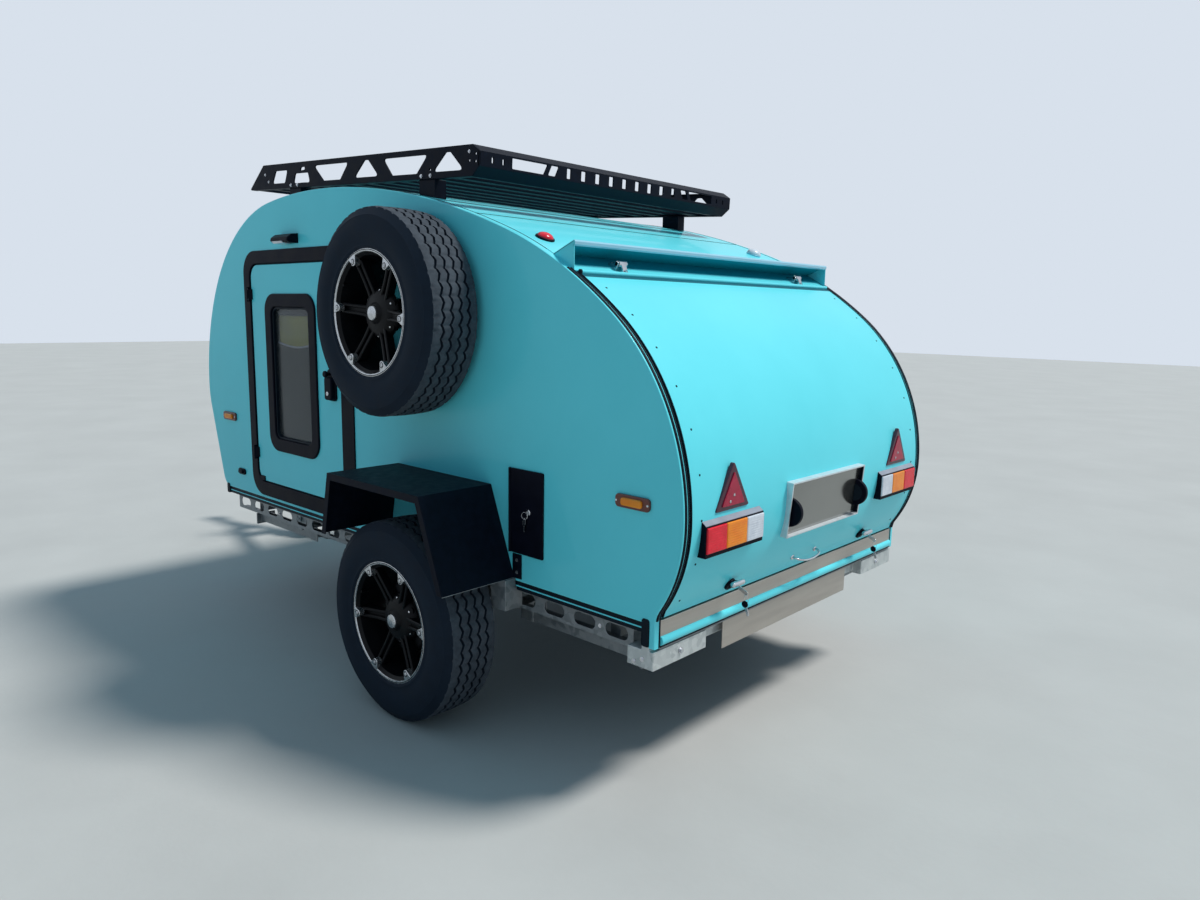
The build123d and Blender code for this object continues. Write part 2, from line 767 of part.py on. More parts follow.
box_rear_x = tail_foot_x + 4
box_out_y = half_width - 2
box_in_y = box_out_y - corner_box_length
post_rear_x = tail_foot_x + tail_strip
post_front_x = post_rear_x + 26
post_in_y = rail_out_y + 2
corner_box = block(box_rear_x, rail_rear_x, box_in_y, box_out_y, corner_box_low_z, corner_box_top_z)
corner_box -= block(box_rear_x + rail_sheet, rail_rear_x + 1, box_in_y + rail_sheet, box_out_y - rail_sheet,
                    corner_box_low_z + rail_sheet, corner_box_top_z - rail_sheet)
corner_box += block(post_rear_x, post_front_x, post_in_y, box_out_y, corner_box_top_z, trim_low_z - 4)
corner_box += block(post_rear_x, post_front_x, rail_in_y, post_in_y, corner_box_top_z, rail_top_z)
beam_rear_x = tail_foot_x + 40
beam = block(beam_rear_x, rail_rear_x - 5, -box_in_y, box_in_y, corner_box_low_z + 8, corner_box_top_z)
node("rear_beam", corner_box + mirrored(corner_box) + beam)

axle_tube_x = axle_x + arm_reach
axle_tube_z = rail_low_z - axle_tube / 2
arm_in_y = rail_out_y + 4
arm_out_y = arm_in_y + arm_thick
node("axle_beam", block(axle_tube_x - axle_tube / 2, axle_tube_x + axle_tube / 2, -arm_in_y, arm_in_y,
                        rail_low_z - axle_tube, rail_low_z))


def arm_shape():
    slope = math.degrees(math.atan2(axle_tube_z - tyre_radius, arm_reach))
    length = math.hypot(arm_reach, axle_tube_z - tyre_radius)
    place = Pos(axle_x, (arm_in_y + arm_out_y) / 2, tyre_radius) * Rot(0, -slope, 0) * Pos(length / 2, 0, 0)
    arm = place * Box(length + arm_height, arm_thick, arm_height)
    spindle_end = track / 2 + drum_back - seat_gap
    return arm + rod((axle_x, arm_out_y, tyre_radius), (axle_x, spindle_end, tyre_radius), spindle_radius)


node("trailing_arms", *both(arm_shape()))

# Stainless sill plate under the hatch with its lip and valance

sill_plate = block(tail_foot_x, tail_foot_x + sill_plate_thick, -inner_y, inner_y,
                   sill_plate_low_z, hatch_low_z - panel_gap)
lip_z = sill_plate_low_z + sill_lip_radius
sill_plate += rod((tail_foot_x + 4, -inner_y, lip_z), (tail_foot_x + 4, inner_y, lip_z), sill_lip_radius)
valance = block(valance_x, beam_rear_x, -valance_half, valance_half, valance_low_z, corner_box_top_z)
valance -= block(valance_x + rail_sheet, beam_rear_x + 1, -valance_half - 1, valance_half + 1,
                 valance_low_z - 1, corner_box_top_z - rail_sheet)
ledge_z = sill_plate_low_z - rail_sheet
hanger = block(tail_foot_x, post_rear_x, -inner_y, inner_y, ledge_z, sill_plate_low_z)
for side in (-1, 1):
    y0, y1 = sorted((side * (valance_half - 40), side * valance_half))
    hanger += block(tail_foot_x + sill_plate_thick, beam_rear_x, y0, y1, corner_box_top_z, sill_plate_low_z)
node("rear_sill", sill_plate + hanger + valance)

# Drawbar, coupler and jockey wheel

draw_z = rail_low_z - draw_height / 2
draw_rear_y = rail_out_y - draw_rear_inset
draw_leg = bar((draw_rear_x, draw_rear_y, draw_z), (draw_tip_x, draw_tip_y, draw_z), draw_width, draw_height,
               draw_sheet)
tip_box = block(draw_tip_x - 90, draw_tip_x + 120, -34, 34, draw_z - draw_height / 2, rail_low_z)
clamp_tie = block(jockey_x - 45, jockey_x + 45, -112, 112, draw_z - 20, draw_z + 20)
clamp_tie -= rod((jockey_x, 0, 0), (jockey_x, 0, jockey_top_z), jockey_tube)
node("drawbar", draw_leg + mirrored(draw_leg) + tip_box + clamp_tie)

coupler_top_z = ball_z + 56
coupler = block(draw_tip_x + 20, ball_x + 10, -30, 30, rail_low_z, rail_low_z + 46)
coupler += rod((ball_x, 0, ball_z - 28), (ball_x, 0, coupler_top_z), 44)
coupler += rod((ball_x - 150, 0, ball_z + 78), (ball_x + 20, 0, ball_z + 110), 12)
coupler += block(ball_x - 40, ball_x + 10, -14, 14, coupler_top_z - 6, ball_z + 104)
socket = Pos(ball_x, 0, ball_z) * Sphere(ball_radius + ball_play)
socket += rod((ball_x, 0, ball_z - 30), (ball_x, 0, ball_z), ball_radius + ball_play)
node("coupler", coupler - socket)

tube_low = draw_z - draw_height
outer_tube = rod((jockey_x, 0, tube_low), (jockey_x, 0, jockey_top_z), jockey_tube)
outer_tube -= rod((jockey_x, 0, tube_low - 1), (jockey_x, 0, jockey_top_z - 12), jockey_leg + 0.4)
crank_z = jockey_top_z + 32
crank_x = jockey_x - 120
crank = rod((jockey_x, 0, jockey_top_z), (jockey_x, 0, crank_z + 8), 9)
crank += rod((jockey_x, 0, crank_z), (crank_x, 0, crank_z), 8)
crank += rod((crank_x, 0, crank_z - 8), (crank_x, 0, crank_z + 68), 13)
node("jockey_tube", outer_tube + crank)

wheel_x = jockey_x - jockey_trail
fork_top = 2 * jockey_wheel + 22
fork_neck = 14
fork_half = jockey_width / 2 + 12
node("jockey_leg", rod((jockey_x, 0, fork_top + fork_neck), (jockey_x, 0, jockey_top_z - 170), jockey_leg))
fork = rod((jockey_x, 0, fork_top), (jockey_x, 0, fork_top + fork_neck - seat_gap), jockey_leg + 10)
fork += block(wheel_x - 20, jockey_x + 30, -fork_half, fork_half, fork_top - 6, fork_top)
fork_cheek = block(wheel_x - 20, wheel_x + 20, fork_half - 6, fork_half, jockey_wheel - 18, fork_top)
fork += fork_cheek + mirrored(fork_cheek)
fork += rod((wheel_x, -fork_half - 4, jockey_wheel), (wheel_x, fork_half + 4, jockey_wheel), 8)
node("jockey_fork", fork)
roller = rod((wheel_x, -jockey_width / 2, jockey_wheel), (wheel_x, jockey_width / 2, jockey_wheel),
             jockey_wheel)
roller -= rod((wheel_x, -fork_half, jockey_wheel), (wheel_x, fork_half, jockey_wheel), 8 + seat_gap)
node("jockey_wheel", roller)

# Corner steadies, folded up under the rails

leg_half = 25
leg_sheet = 3
foot_plate = 45
steady_brackets = []
for name, pivot, way, side in steady_rows:
    y = side * steady_y
    tip = pivot + steady_length * way
    leg = block(pivot - 20 * way, tip, y - leg_half, y + leg_half, steady_z - 17, steady_z + 17)
    leg -= block(pivot - 21 * way, tip + way, y - leg_half + leg_sheet, y + leg_half - leg_sheet,
                 steady_z - 18, steady_z + 17 - leg_sheet)
    leg += block(tip, tip + 6 * way, y - foot_plate, y + foot_plate, steady_z - 30, steady_z + 22)
    node(name, leg - rod((pivot, y - foot_plate, steady_z), (pivot, y + foot_plate, steady_z),
                         steady_pin + seat_gap))
    ears = block(pivot - 30, pivot + 30, y - 32, y + 32, steady_z - 16, rail_low_z + 2)
    ears -= block(pivot - 31, pivot + 31, y - 27, y + 27, steady_z - 17, rail_low_z - 6)
    ears += rod((pivot, y - 32, steady_z), (pivot, y + 32, steady_z), steady_pin)
    y0, y1 = sorted((y, side * rail_out_y))
    steady_brackets.append(ears + block(pivot - 30, pivot + 30, y0, y1, rail_low_z - 6, rail_low_z))
node("frame_brackets", *both(bracket), *steady_brackets)

# Roof rack

rack_half = half_width - rack_inset


def rack_place(shape):
    return Pos(rack_rear_x, 0, rack_rear_z) * Rot(0, -rack_tilt, 0) * shape


side_points = ((rack_tail_x, 0), (rack_length, 0), (rack_length - rack_front_slant, rack_height),
               (rack_tail_x, rack_height), (0, rack_height - rack_tail_top), (0, rack_tail_low))
rack_side = across(side_face(side_points), rack_half - rack_sheet, rack_half)
# Cut-outs of the side plate: low and high edge, then the corners low rear, low front, top front, top rear
cutouts = (
    (22, 82, 81, 247, 176, 152),
    (20, 80, 338, 486, 544, 276),
    (22, 82, 572, 736, 664, 640),
    (20, 80, 832, 955, 1030, 775),
    (18, 62, 1060, 1190, 1180, 1075),
    (22, 72, 1262, 1370, 1340, 1240),
)
for low, top, low_rear, low_front, top_front, top_rear in cutouts:
    corners = ((low_rear, low), (low_front, low), (top_front, top), (top_rear, top))
    rack_side -= across(side_face(corners), rack_half - 20, rack_half + 20)

rack_tail_high = rack_height - rack_tail_top
tail_bends = (
    ((0, rack_tail_low), (rack_tail_x, 0), (rack_tail_x + 2, rack_sheet), (rack_sheet, rack_tail_low + 2)),
    ((0, rack_tail_high), (rack_tail_x, rack_height), (rack_tail_x + 2, rack_height - rack_sheet),
     (rack_sheet, rack_tail_high - 3)),
)
rear_plate = block(0, rack_sheet, -rack_half, rack_half, rack_tail_low, rack_tail_high)
# Windows of the rear plate: middle and half length across the trailer
tail_windows = ((0, 14), (110, 14), (220, 14), (330, 14), (484, 82), (620, 8))
for middle, half in tail_windows:
    for side in (-1, 1):
        y = side * middle
        rear_plate -= block(-1, rack_sheet + 1, y - half, y + half, rack_tail_low + 8, rack_tail_high - 6)
for bend in tail_bends:
    rear_plate += across(side_face(bend), -rack_half, rack_half)
nose_plate_x = rack_length - 40
slat_half = rack_half - rack_sheet
nose_plate = block(nose_plate_x, nose_plate_x + rack_sheet, -slat_half, slat_half, 0, 20)
node("rack_frame", rack_place(rack_side + mirrored(rack_side) + rear_plate + nose_plate))

slat_rear = rack_tail_x + 10
slat_pitch = (rack_length - 2 * slat_rear) / slat_count
slats = []
for k in range(slat_count):
    x = slat_rear + slat_pitch * k
    slats.append(rack_place(block(x, x + slat_width, -slat_half, slat_half, slat_low, slat_low + slat_thick)))
node("rack_slats", *slats)

feet = []
above_rack = rack_place(block(-far, far, -far, far, 0, far))
for ahead in foot_ahead:
    x = rack_rear_x + ahead
    foot = block(x - foot_half, x + foot_half, rack_half - foot_width - rack_sheet, rack_half - rack_sheet,
                 roof_z(x) - roof_thick, 2 * rack_rear_z)
    feet += both(foot - body_block - above_rack)
node("rack_feet", *feet)

# Lamps and fittings of the hatch


def on_skin(x_out, y0, y1, z0, z1):
    """Block that reaches from x_out to the hatch's skin."""
    return block(x_out, 0, y0, y1, z0, z1) - body_block


tail_x = skin_x(lamp_low_z + lamp_height / 2)
lamp_x = tail_x - lamp_depth
lamp_top_z = lamp_low_z + lamp_height
lens_border = 6
# Lenses as shares of the lamp from its inner to its outer end
lens_rows = (("lens_white", 0, 0.3), ("lens_amber", 0.3, 0.6), ("lens_red", 0.6, 1))
node("lamp_housings", *both(on_skin(lamp_x, lamp_inner_y, lamp_outer_y, lamp_low_z, lamp_top_z)))
for name, start, stop in lens_rows:
    span = lamp_outer_y - lamp_inner_y - 2 * lens_border
    y0 = lamp_inner_y + lens_border + start * span
    y1 = lamp_inner_y + lens_border + stop * span - 1
    lens = block(lamp_x - lens_proud, lamp_x, y0, y1, lamp_low_z + lens_border, lamp_top_z - lens_border)
    node(name, *both(lens))
corners = ((0, -triangle_half, 0), (0, triangle_half, 0), (0, 0, triangle_height))
triangle = extrude(make_face(Polyline(corners, close=True)), amount=triangle_thick, dir=(-1, 0, 0))
triangle = Pos(skin_x(triangle_low_z + triangle_height / 2), triangle_y, triangle_low_z) * triangle
node("reflector_triangles", *both(triangle - body_block))
tray_top_z = tray_low_z + tray_height
tray_middle_z = tray_low_z + tray_height / 2
tray_place = Pos(skin_x(tray_middle_z) - tray_depth, 0, tray_middle_z) * Rot(0, -tray_lean, 0)
tray_rise = tray_height / 2
tray_in = tray_half - tray_border
tray = tray_place * block(0, 60, -tray_half, tray_half, -tray_rise, tray_rise) - body_block
tray -= tray_place * block(-1, tray_sink, -tray_in, tray_in, tray_border - tray_rise, tray_rise - tray_border)
node("plate_tray", tray)
plate_lamp = rod((tray_sink, plate_lamp_out_y - plate_lamp_wide, -plate_lamp_low),
                 (tray_sink, plate_lamp_out_y, -plate_lamp_low), plate_lamp_radius)
plate_lamp &= block(-far, tray_sink, 0, tray_in, -tray_rise, tray_rise)
node("plate_lamps", *both(tray_place * plate_lamp))

latch_x = skin_x(latch_z)
grip_x = latch_x - latch_reach
latch = on_skin(latch_x - 12, latch_y - 20, latch_y + 20, latch_z - 30, latch_z + 30)
latch += rod((grip_x, latch_y - 30, latch_z), (grip_x, latch_y + 30, latch_z), 9)
latch += rod((grip_x, latch_y, latch_z), (latch_x - 6, latch_y, latch_z), 8)
pull_x = skin_x(pull_z) - pull_reach
pull = rod((pull_x, -pull_half, pull_z), (pull_x, pull_half, pull_z), 6)
for side in (-1, 1):
    y0, y1 = sorted((side * (pull_half - 14), side * pull_half))
    pull += on_skin(pull_x, y0, y1, pull_z - 6, pull_z + 6)
node("hatch_hardware", *both(latch), pull)

# Marker lamps on the walls, roof and front, porch lamps over the doors

markers = []
for x, z in marker_rows:
    markers += both(block(x - marker_half, x + marker_half, half_width, half_width + marker_depth,
                          z - marker_height / 2, z + marker_height / 2))
for x, y in dome_spots:
    dome = Pos(x, y, roof_z(x)) * Cylinder(dome_radius, 2 * dome_rise)
    markers.append(dome - body_block)
front_lamp = block(front_x, far, front_lamp_y - front_lamp_half, front_lamp_y + front_lamp_half,
                   front_lamp_z - front_lamp_rise, front_lamp_z + front_lamp_rise)
markers += both((front_lamp & Pos(front_lamp_depth, 0, 0) * body_block) - body_block)
node("marker_lamps", *markers)
porch_x = (door_rear_x + door_front_x) / 2
porch_low_z = frame_top_z + porch_gap
porch_lamp = block(porch_x - porch_half, porch_x + porch_half, half_width, half_width + porch_depth,
                   porch_low_z, porch_low_z + porch_height)
node("porch_lamps", *both(porch_lamp))

# Write every piece, with X = 0 at the middle of the trailer's length

boxes = [shape.bounding_box() for shapes in nodes.values() for shape in shapes]
middle_x = (min(b.min.X for b in boxes) + max(b.max.X for b in boxes)) / 2
print("middle_x", round(middle_x, 3), "nodes", len(nodes))
for name, shapes in nodes.items():
    solids = [Pos(-middle_x, 0, 0) * solid for shape in shapes for solid in shape.solids()]
    export_step(Compound(children=solids) if len(solids) > 1 else solids[0], "parts/" + name + ".step")
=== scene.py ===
import bmesh
import bpy
import math
from mathutils import Matrix, Vector


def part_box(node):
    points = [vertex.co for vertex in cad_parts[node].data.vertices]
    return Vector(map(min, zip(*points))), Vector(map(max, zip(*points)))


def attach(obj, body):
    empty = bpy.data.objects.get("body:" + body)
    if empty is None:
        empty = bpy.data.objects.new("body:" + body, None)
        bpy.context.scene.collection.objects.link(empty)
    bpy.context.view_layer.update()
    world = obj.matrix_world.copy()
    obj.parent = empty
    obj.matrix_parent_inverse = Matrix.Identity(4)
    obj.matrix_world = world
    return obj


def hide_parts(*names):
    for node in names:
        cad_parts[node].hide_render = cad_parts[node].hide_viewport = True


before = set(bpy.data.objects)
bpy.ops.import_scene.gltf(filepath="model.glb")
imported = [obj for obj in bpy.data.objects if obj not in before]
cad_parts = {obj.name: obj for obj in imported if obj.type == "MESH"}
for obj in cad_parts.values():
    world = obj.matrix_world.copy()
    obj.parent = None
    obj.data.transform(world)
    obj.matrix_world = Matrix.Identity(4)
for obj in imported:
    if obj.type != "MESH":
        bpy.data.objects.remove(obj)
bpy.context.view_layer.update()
scene = bpy.context.scene
tidyAngle = math.radians(32)                    # edges sharper than this stay crisp
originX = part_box("bulkhead")[0].x - 0.560       # rear lower corner of the side wall
alongX, alongY, alongZ = Vector((1, 0, 0)), Vector((0, 1, 0)), Vector((0, 0, 1))


def at(x, y, z):
    return Vector((originX + x, y, z))


# Mesh tools

def addObject(name, data):
    item = bpy.data.objects.new(name, data)
    scene.collection.objects.link(item)
    return item


def newPiece(name, bm, body, looks, soften=0.0, steps=2, replaces=""):
    bmesh.ops.recalc_face_normals(bm, faces=bm.faces)
    mesh = bpy.data.meshes.new(name)
    bm.to_mesh(mesh)
    bm.free()
    for look in looks.split():
        mesh.materials.append(finish[look])
    mesh.polygons.foreach_set("use_smooth", [True] * len(mesh.polygons))
    mesh.set_sharp_from_angle(angle=tidyAngle)
    piece = addObject(name, mesh)
    if soften:
        roundEdges(piece, soften, steps)
    keepSharp(piece)
    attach(piece, body)
    if replaces:
        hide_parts(*replaces.split())
    return piece


def keepSharp(piece):
    piece.modifiers.new("shade", "WEIGHTED_NORMAL").keep_sharp = True


def roundEdges(piece, width, steps=2):
    edges = piece.modifiers.new("edges", "BEVEL")
    edges.width = width
    edges.segments = steps
    edges.limit_method = "ANGLE"
    edges.angle_limit = tidyAngle
    edges.harden_normals = True


def dressNode(name, look, soften, steps=2):     # a CAD piece keeps its shape and gets its finish
    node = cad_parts[name]
    if not node.material_slots:
        node.data.materials.append(finish[look])
    for slot in node.material_slots:
        slot.material = finish[look]
    node.modifiers.new("weld", "WELD").merge_threshold = 0.00002
    roundEdges(node, soften, steps)
    keepSharp(node)


def boxIn(bm, x0, x1, y0, y1, z0, z1, mark=0):
    corners = [bm.verts.new(at(x, y, z)) for x in (x0, x1) for y in (y0, y1) for z in (z0, z1)]
    for ids in ((0, 1, 3, 2), (4, 6, 7, 5), (0, 4, 5, 1), (2, 3, 7, 6), (0, 2, 6, 4), (1, 5, 7, 3)):
        bm.faces.new([corners[i] for i in ids]).material_index = mark


def ringIn(bm, centre, side, up, radius, count):
    angles = [2 * math.pi * k / count for k in range(count)]
    return [bm.verts.new(centre + (side * math.cos(a) + up * math.sin(a)) * radius) for a in angles]


def joinRings(bm, first, second, mark=0):
    for corners in zip(first, first[1:] + first[:1], second[1:] + second[:1], second):
        bm.faces.new(corners).material_index = mark


def capEnds(bm, rings, mark=0):
    bm.faces.new(rings[0][::-1]).material_index = mark
    bm.faces.new(rings[-1]).material_index = mark


def loftIn(bm, rings, mark=0, caps=True):
    for first, second in zip(rings, rings[1:]):
        joinRings(bm, first, second, mark)
    if caps:
        capEnds(bm, rings, mark)


def rodIn(bm, start, end, radius, count=20, mark=0, endRadius=None):
    axis = (end - start).normalized()
    side = axis.orthogonal().normalized()
    up = axis.cross(side)
    loftIn(bm, [ringIn(bm, start, side, up, radius, count),
                ringIn(bm, end, side, up, endRadius or radius, count)], mark)


def turnedIn(bm, profile, origin, axis, count=48, mark=0, marks=None, closed=False):
    axis = axis.normalized()
    side = axis.orthogonal().normalized()
    up = axis.cross(side)
    rings = []
    for radius, along in profile:
        centre = origin + axis * along
        rings.append(ringIn(bm, centre, side, up, radius, count) if radius > 1e-6 else [bm.verts.new(centre)])
    pairs = list(zip(rings, rings[1:] + rings[:1]))
    for i, (first, second) in enumerate(pairs if closed else pairs[:-1]):
        face = marks[i] if marks else mark
        if len(first) == len(second) > 1:
            joinRings(bm, first, second, face)
        elif len(first) != len(second):
            tip, ring = (first[0], second) if len(first) == 1 else (second[0], first)
            for a, b in zip(ring, ring[1:] + ring[:1]):
                bm.faces.new((tip, a, b)).material_index = face


def sleeveIn(bm, origin, axis, bore, radius, low, high, count):
    turnedIn(bm, ((bore, low), (radius, low), (radius, high), (bore, high)), origin, axis, count, closed=True)


def tubeIn(bm, points, radius, count=14, mark=0, caps=True):
    rings = []
    side = None
    for point, ahead, behind in zip(points, points[1:] + points[-1:], points[:1] + points[:-1]):
        axis = (ahead - behind).normalized()
        side = axis.orthogonal() if side is None else side - axis * side.dot(axis)
        side.normalize()
        rings.append(ringIn(bm, point, side, axis.cross(side), radius, count))
    loftIn(bm, rings, mark, caps)


def loopIn(bm, centre, across, along, radius, count, mark=0):       # closed wire ring
    angles = [2 * math.pi * k / count for k in range(count + 1)]
    points = [centre + Vector(across) * math.sin(a) + Vector(along) * math.cos(a) for a in angles]
    tubeIn(bm, points, radius, 8, mark, False)


def signedArea(points):
    return sum(a[0] * b[1] - b[0] * a[1] for a, b in zip(points, points[1:] + points[:1])) / 2


def insetPoints(points, distance):       # moved to the left of the walking direction
    moved = []
    for (pu, pv), (u, v), (nu, nv) in zip(points[-1:] + points[:-1], points, points[1:] + points[:1]):
        a = Vector((u - pu, v - pv)).normalized()
        b = Vector((nu - u, nv - v)).normalized()
        left = Vector((-a.y - b.y, a.x + b.x))
        if left.length < 1e-9:
            moved.append((u, v))
            continue
        left.normalize()
        share = max(left.dot(Vector((-a.y, a.x))), 0.35)
        moved.append((u + left.x * distance / share, v + left.y * distance / share))
    return moved


def plateIn(bm, outlines, low, high, place, bevel=0.001, mark=0, backBevel=None, steps=2):
    back = bevel if backBevel is None else backBevel
    arc = [(math.sin(math.pi / 2 * k / steps), math.cos(math.pi / 2 * k / steps)) for k in range(steps + 1)]
    levels = [(back * (1 - s), low + back * (1 - c)) for s, c in arc]
    levels += [(bevel * (1 - c), high - bevel * (1 - s)) for s, c in arc]
    topEdges, lowEdges = [], []
    for i, outline in enumerate(outlines):
        outline = list(outline)
        if (signedArea(outline) < 0) == (i == 0):      # material lies on the left of every outline
            outline.reverse()
        rings = []
        for inset, height in levels:
            points = insetPoints(outline, inset) if inset else outline
            rings.append([bm.verts.new(place(u, v, height)) for u, v in points])
        loftIn(bm, rings, mark, False)
        for ring, edges in ((rings[0], lowEdges), (rings[-1], topEdges)):
            for pair in zip(ring, ring[1:] + ring[:1]):
                edges.append(bm.edges.get(pair) or bm.edges.new(pair))
    for edges in (lowEdges, topEdges):
        filled = bmesh.ops.triangle_fill(bm, use_beauty=True, use_dissolve=False, edges=edges)
        for item in filled["geom"]:
            if isinstance(item, bmesh.types.BMFace):
                item.material_index = mark


def arcPoints(middle, size, start, stop, steps):        # angles in degrees, both ends included
    angles = [math.radians(start + (stop - start) * k / steps) for k in range(steps + 1)]
    return [(middle[0] + size[0] * math.cos(a), middle[1] + size[1] * math.sin(a)) for a in angles]


def roundRect(u0, u1, v0, v1, radius, steps=8):
    points = []
    for cu, cv, start in ((u1 - radius, v0 + radius, -90), (u1 - radius, v1 - radius, 0),
                          (u0 + radius, v1 - radius, 90), (u0 + radius, v0 + radius, 180)):
        points += arcPoints((cu, cv), (radius, radius), start, start + 90, steps)
    return points


def bend(start, corner, end, steps):        # curve from start to end, drawn towards the corner
    points = []
    for k in range(steps + 1):
        t = k / steps
        point = start * (1 - t) ** 2 + corner * 2 * t * (1 - t) + end * t * t
        points.append((point.x, point.y))
    return points


def roundCorners(points, radius, steps=5):
    rounded = []
    for before, point, after in zip(points[-1:] + points[:-1], points, points[1:] + points[:1]):
        corner = Vector(point)
        a, b = Vector(before) - corner, Vector(after) - corner
        reach = min(radius / math.tan(a.angle(b) / 2), 0.45 * a.length, 0.45 * b.length)
        rounded += bend(corner + a.normalized() * reach, corner, corner + b.normalized() * reach, steps)
    return rounded


def shrunk(rect, by):
    return rect[0] + by, rect[1] - by, rect[2] + by, rect[3] - by


def onSide(u, v, height):       # drawn in the side view, height along +Y
    return at(u, height, v)


def onRightSide(u, v, height):
    return at(u, -height, v)


def onRear(u, v, height):       # drawn in the rear view, height out towards the rear
    return at(-height, u, v)


sides = (("Left", 1, onSide), ("Right", -1, onRightSide))


def boltIn(bm, centre, axis, size):
    rodIn(bm, centre, centre + axis * size * 0.12, size * 0.95)
    rodIn(bm, centre + axis * size * 0.1, centre + axis * size * 0.55, size * 0.62, 6)


# Finishes: every one is built from noise, so no surface is one flat colour

def linear(r, g, b):
    return tuple((c / 255 / 12.92) if c < 11 else ((c / 255 + 0.055) / 1.055) ** 2.4
                 for c in (r, g, b)) + (1,)


def addNode(tree, kind, values={}, links={}):       # a node, its input values and what feeds it
    node = tree.nodes.new("ShaderNode" + kind)
    for socket, value in values.items():
        node.inputs[socket].default_value = value
    for socket, source in links.items():
        tree.links.new(source, node.inputs[socket])
    return node


def makeFinish(name, dark, light, scale=8, stretch=(1, 1, 1), rough=(0.4, 0.5), metallic=0.0, bump=0.0,
               bumpScale=400, bumpDepth=0.0003, spots=None, coat=0.0, specular=0.5, **sockets):
    material = bpy.data.materials.new(name)
    material.use_nodes = True
    tree = material.node_tree
    shader = tree.nodes["Principled BSDF"]
    place = addNode(tree, "TexCoord")
    spread = addNode(tree, "Mapping", {"Scale": stretch}, {"Vector": place.outputs["Object"]})
    aim = {"Vector": spread.outputs["Vector"]}
    if spots:
        value = addNode(tree, "TexVoronoi", {"Scale": spots}, aim).outputs["Color"]
    else:
        value = addNode(tree, "TexNoise", {"Scale": scale, "Detail": 6, "Roughness": 0.6}, aim).outputs["Fac"]
    ramp = addNode(tree, "ValToRGB", {}, {"Fac": value})
    first, last = ramp.color_ramp.elements
    first.position, last.position = (0.0, 1.0) if spots else (0.3, 0.7)
    first.color, last.color = linear(*dark), linear(*light)
    span = {"From Min": 0.3, "From Max": 0.7, "To Min": rough[0], "To Max": rough[1]}
    gloss = addNode(tree, "MapRange", span, {"Value": value})
    tree.links.new(ramp.outputs["Color"], shader.inputs["Base Color"])
    tree.links.new(gloss.outputs["Result"], shader.inputs["Roughness"])
    if bump:
        fine = addNode(tree, "TexNoise", {"Scale": bumpScale, "Detail": 3}, aim)
        relief = addNode(tree, "Bump", {"Strength": bump, "Distance": bumpDepth},
                         {"Height": fine.outputs["Fac"]})
        tree.links.new(relief.outputs["Normal"], shader.inputs["Normal"])
    sockets.update(Metallic=metallic, Coat_Weight=coat, Specular_IOR_Level=specular)
    for socket, setting in sockets.items():
        shader.inputs[socket.replace("_", " ")].default_value = setting
    return material


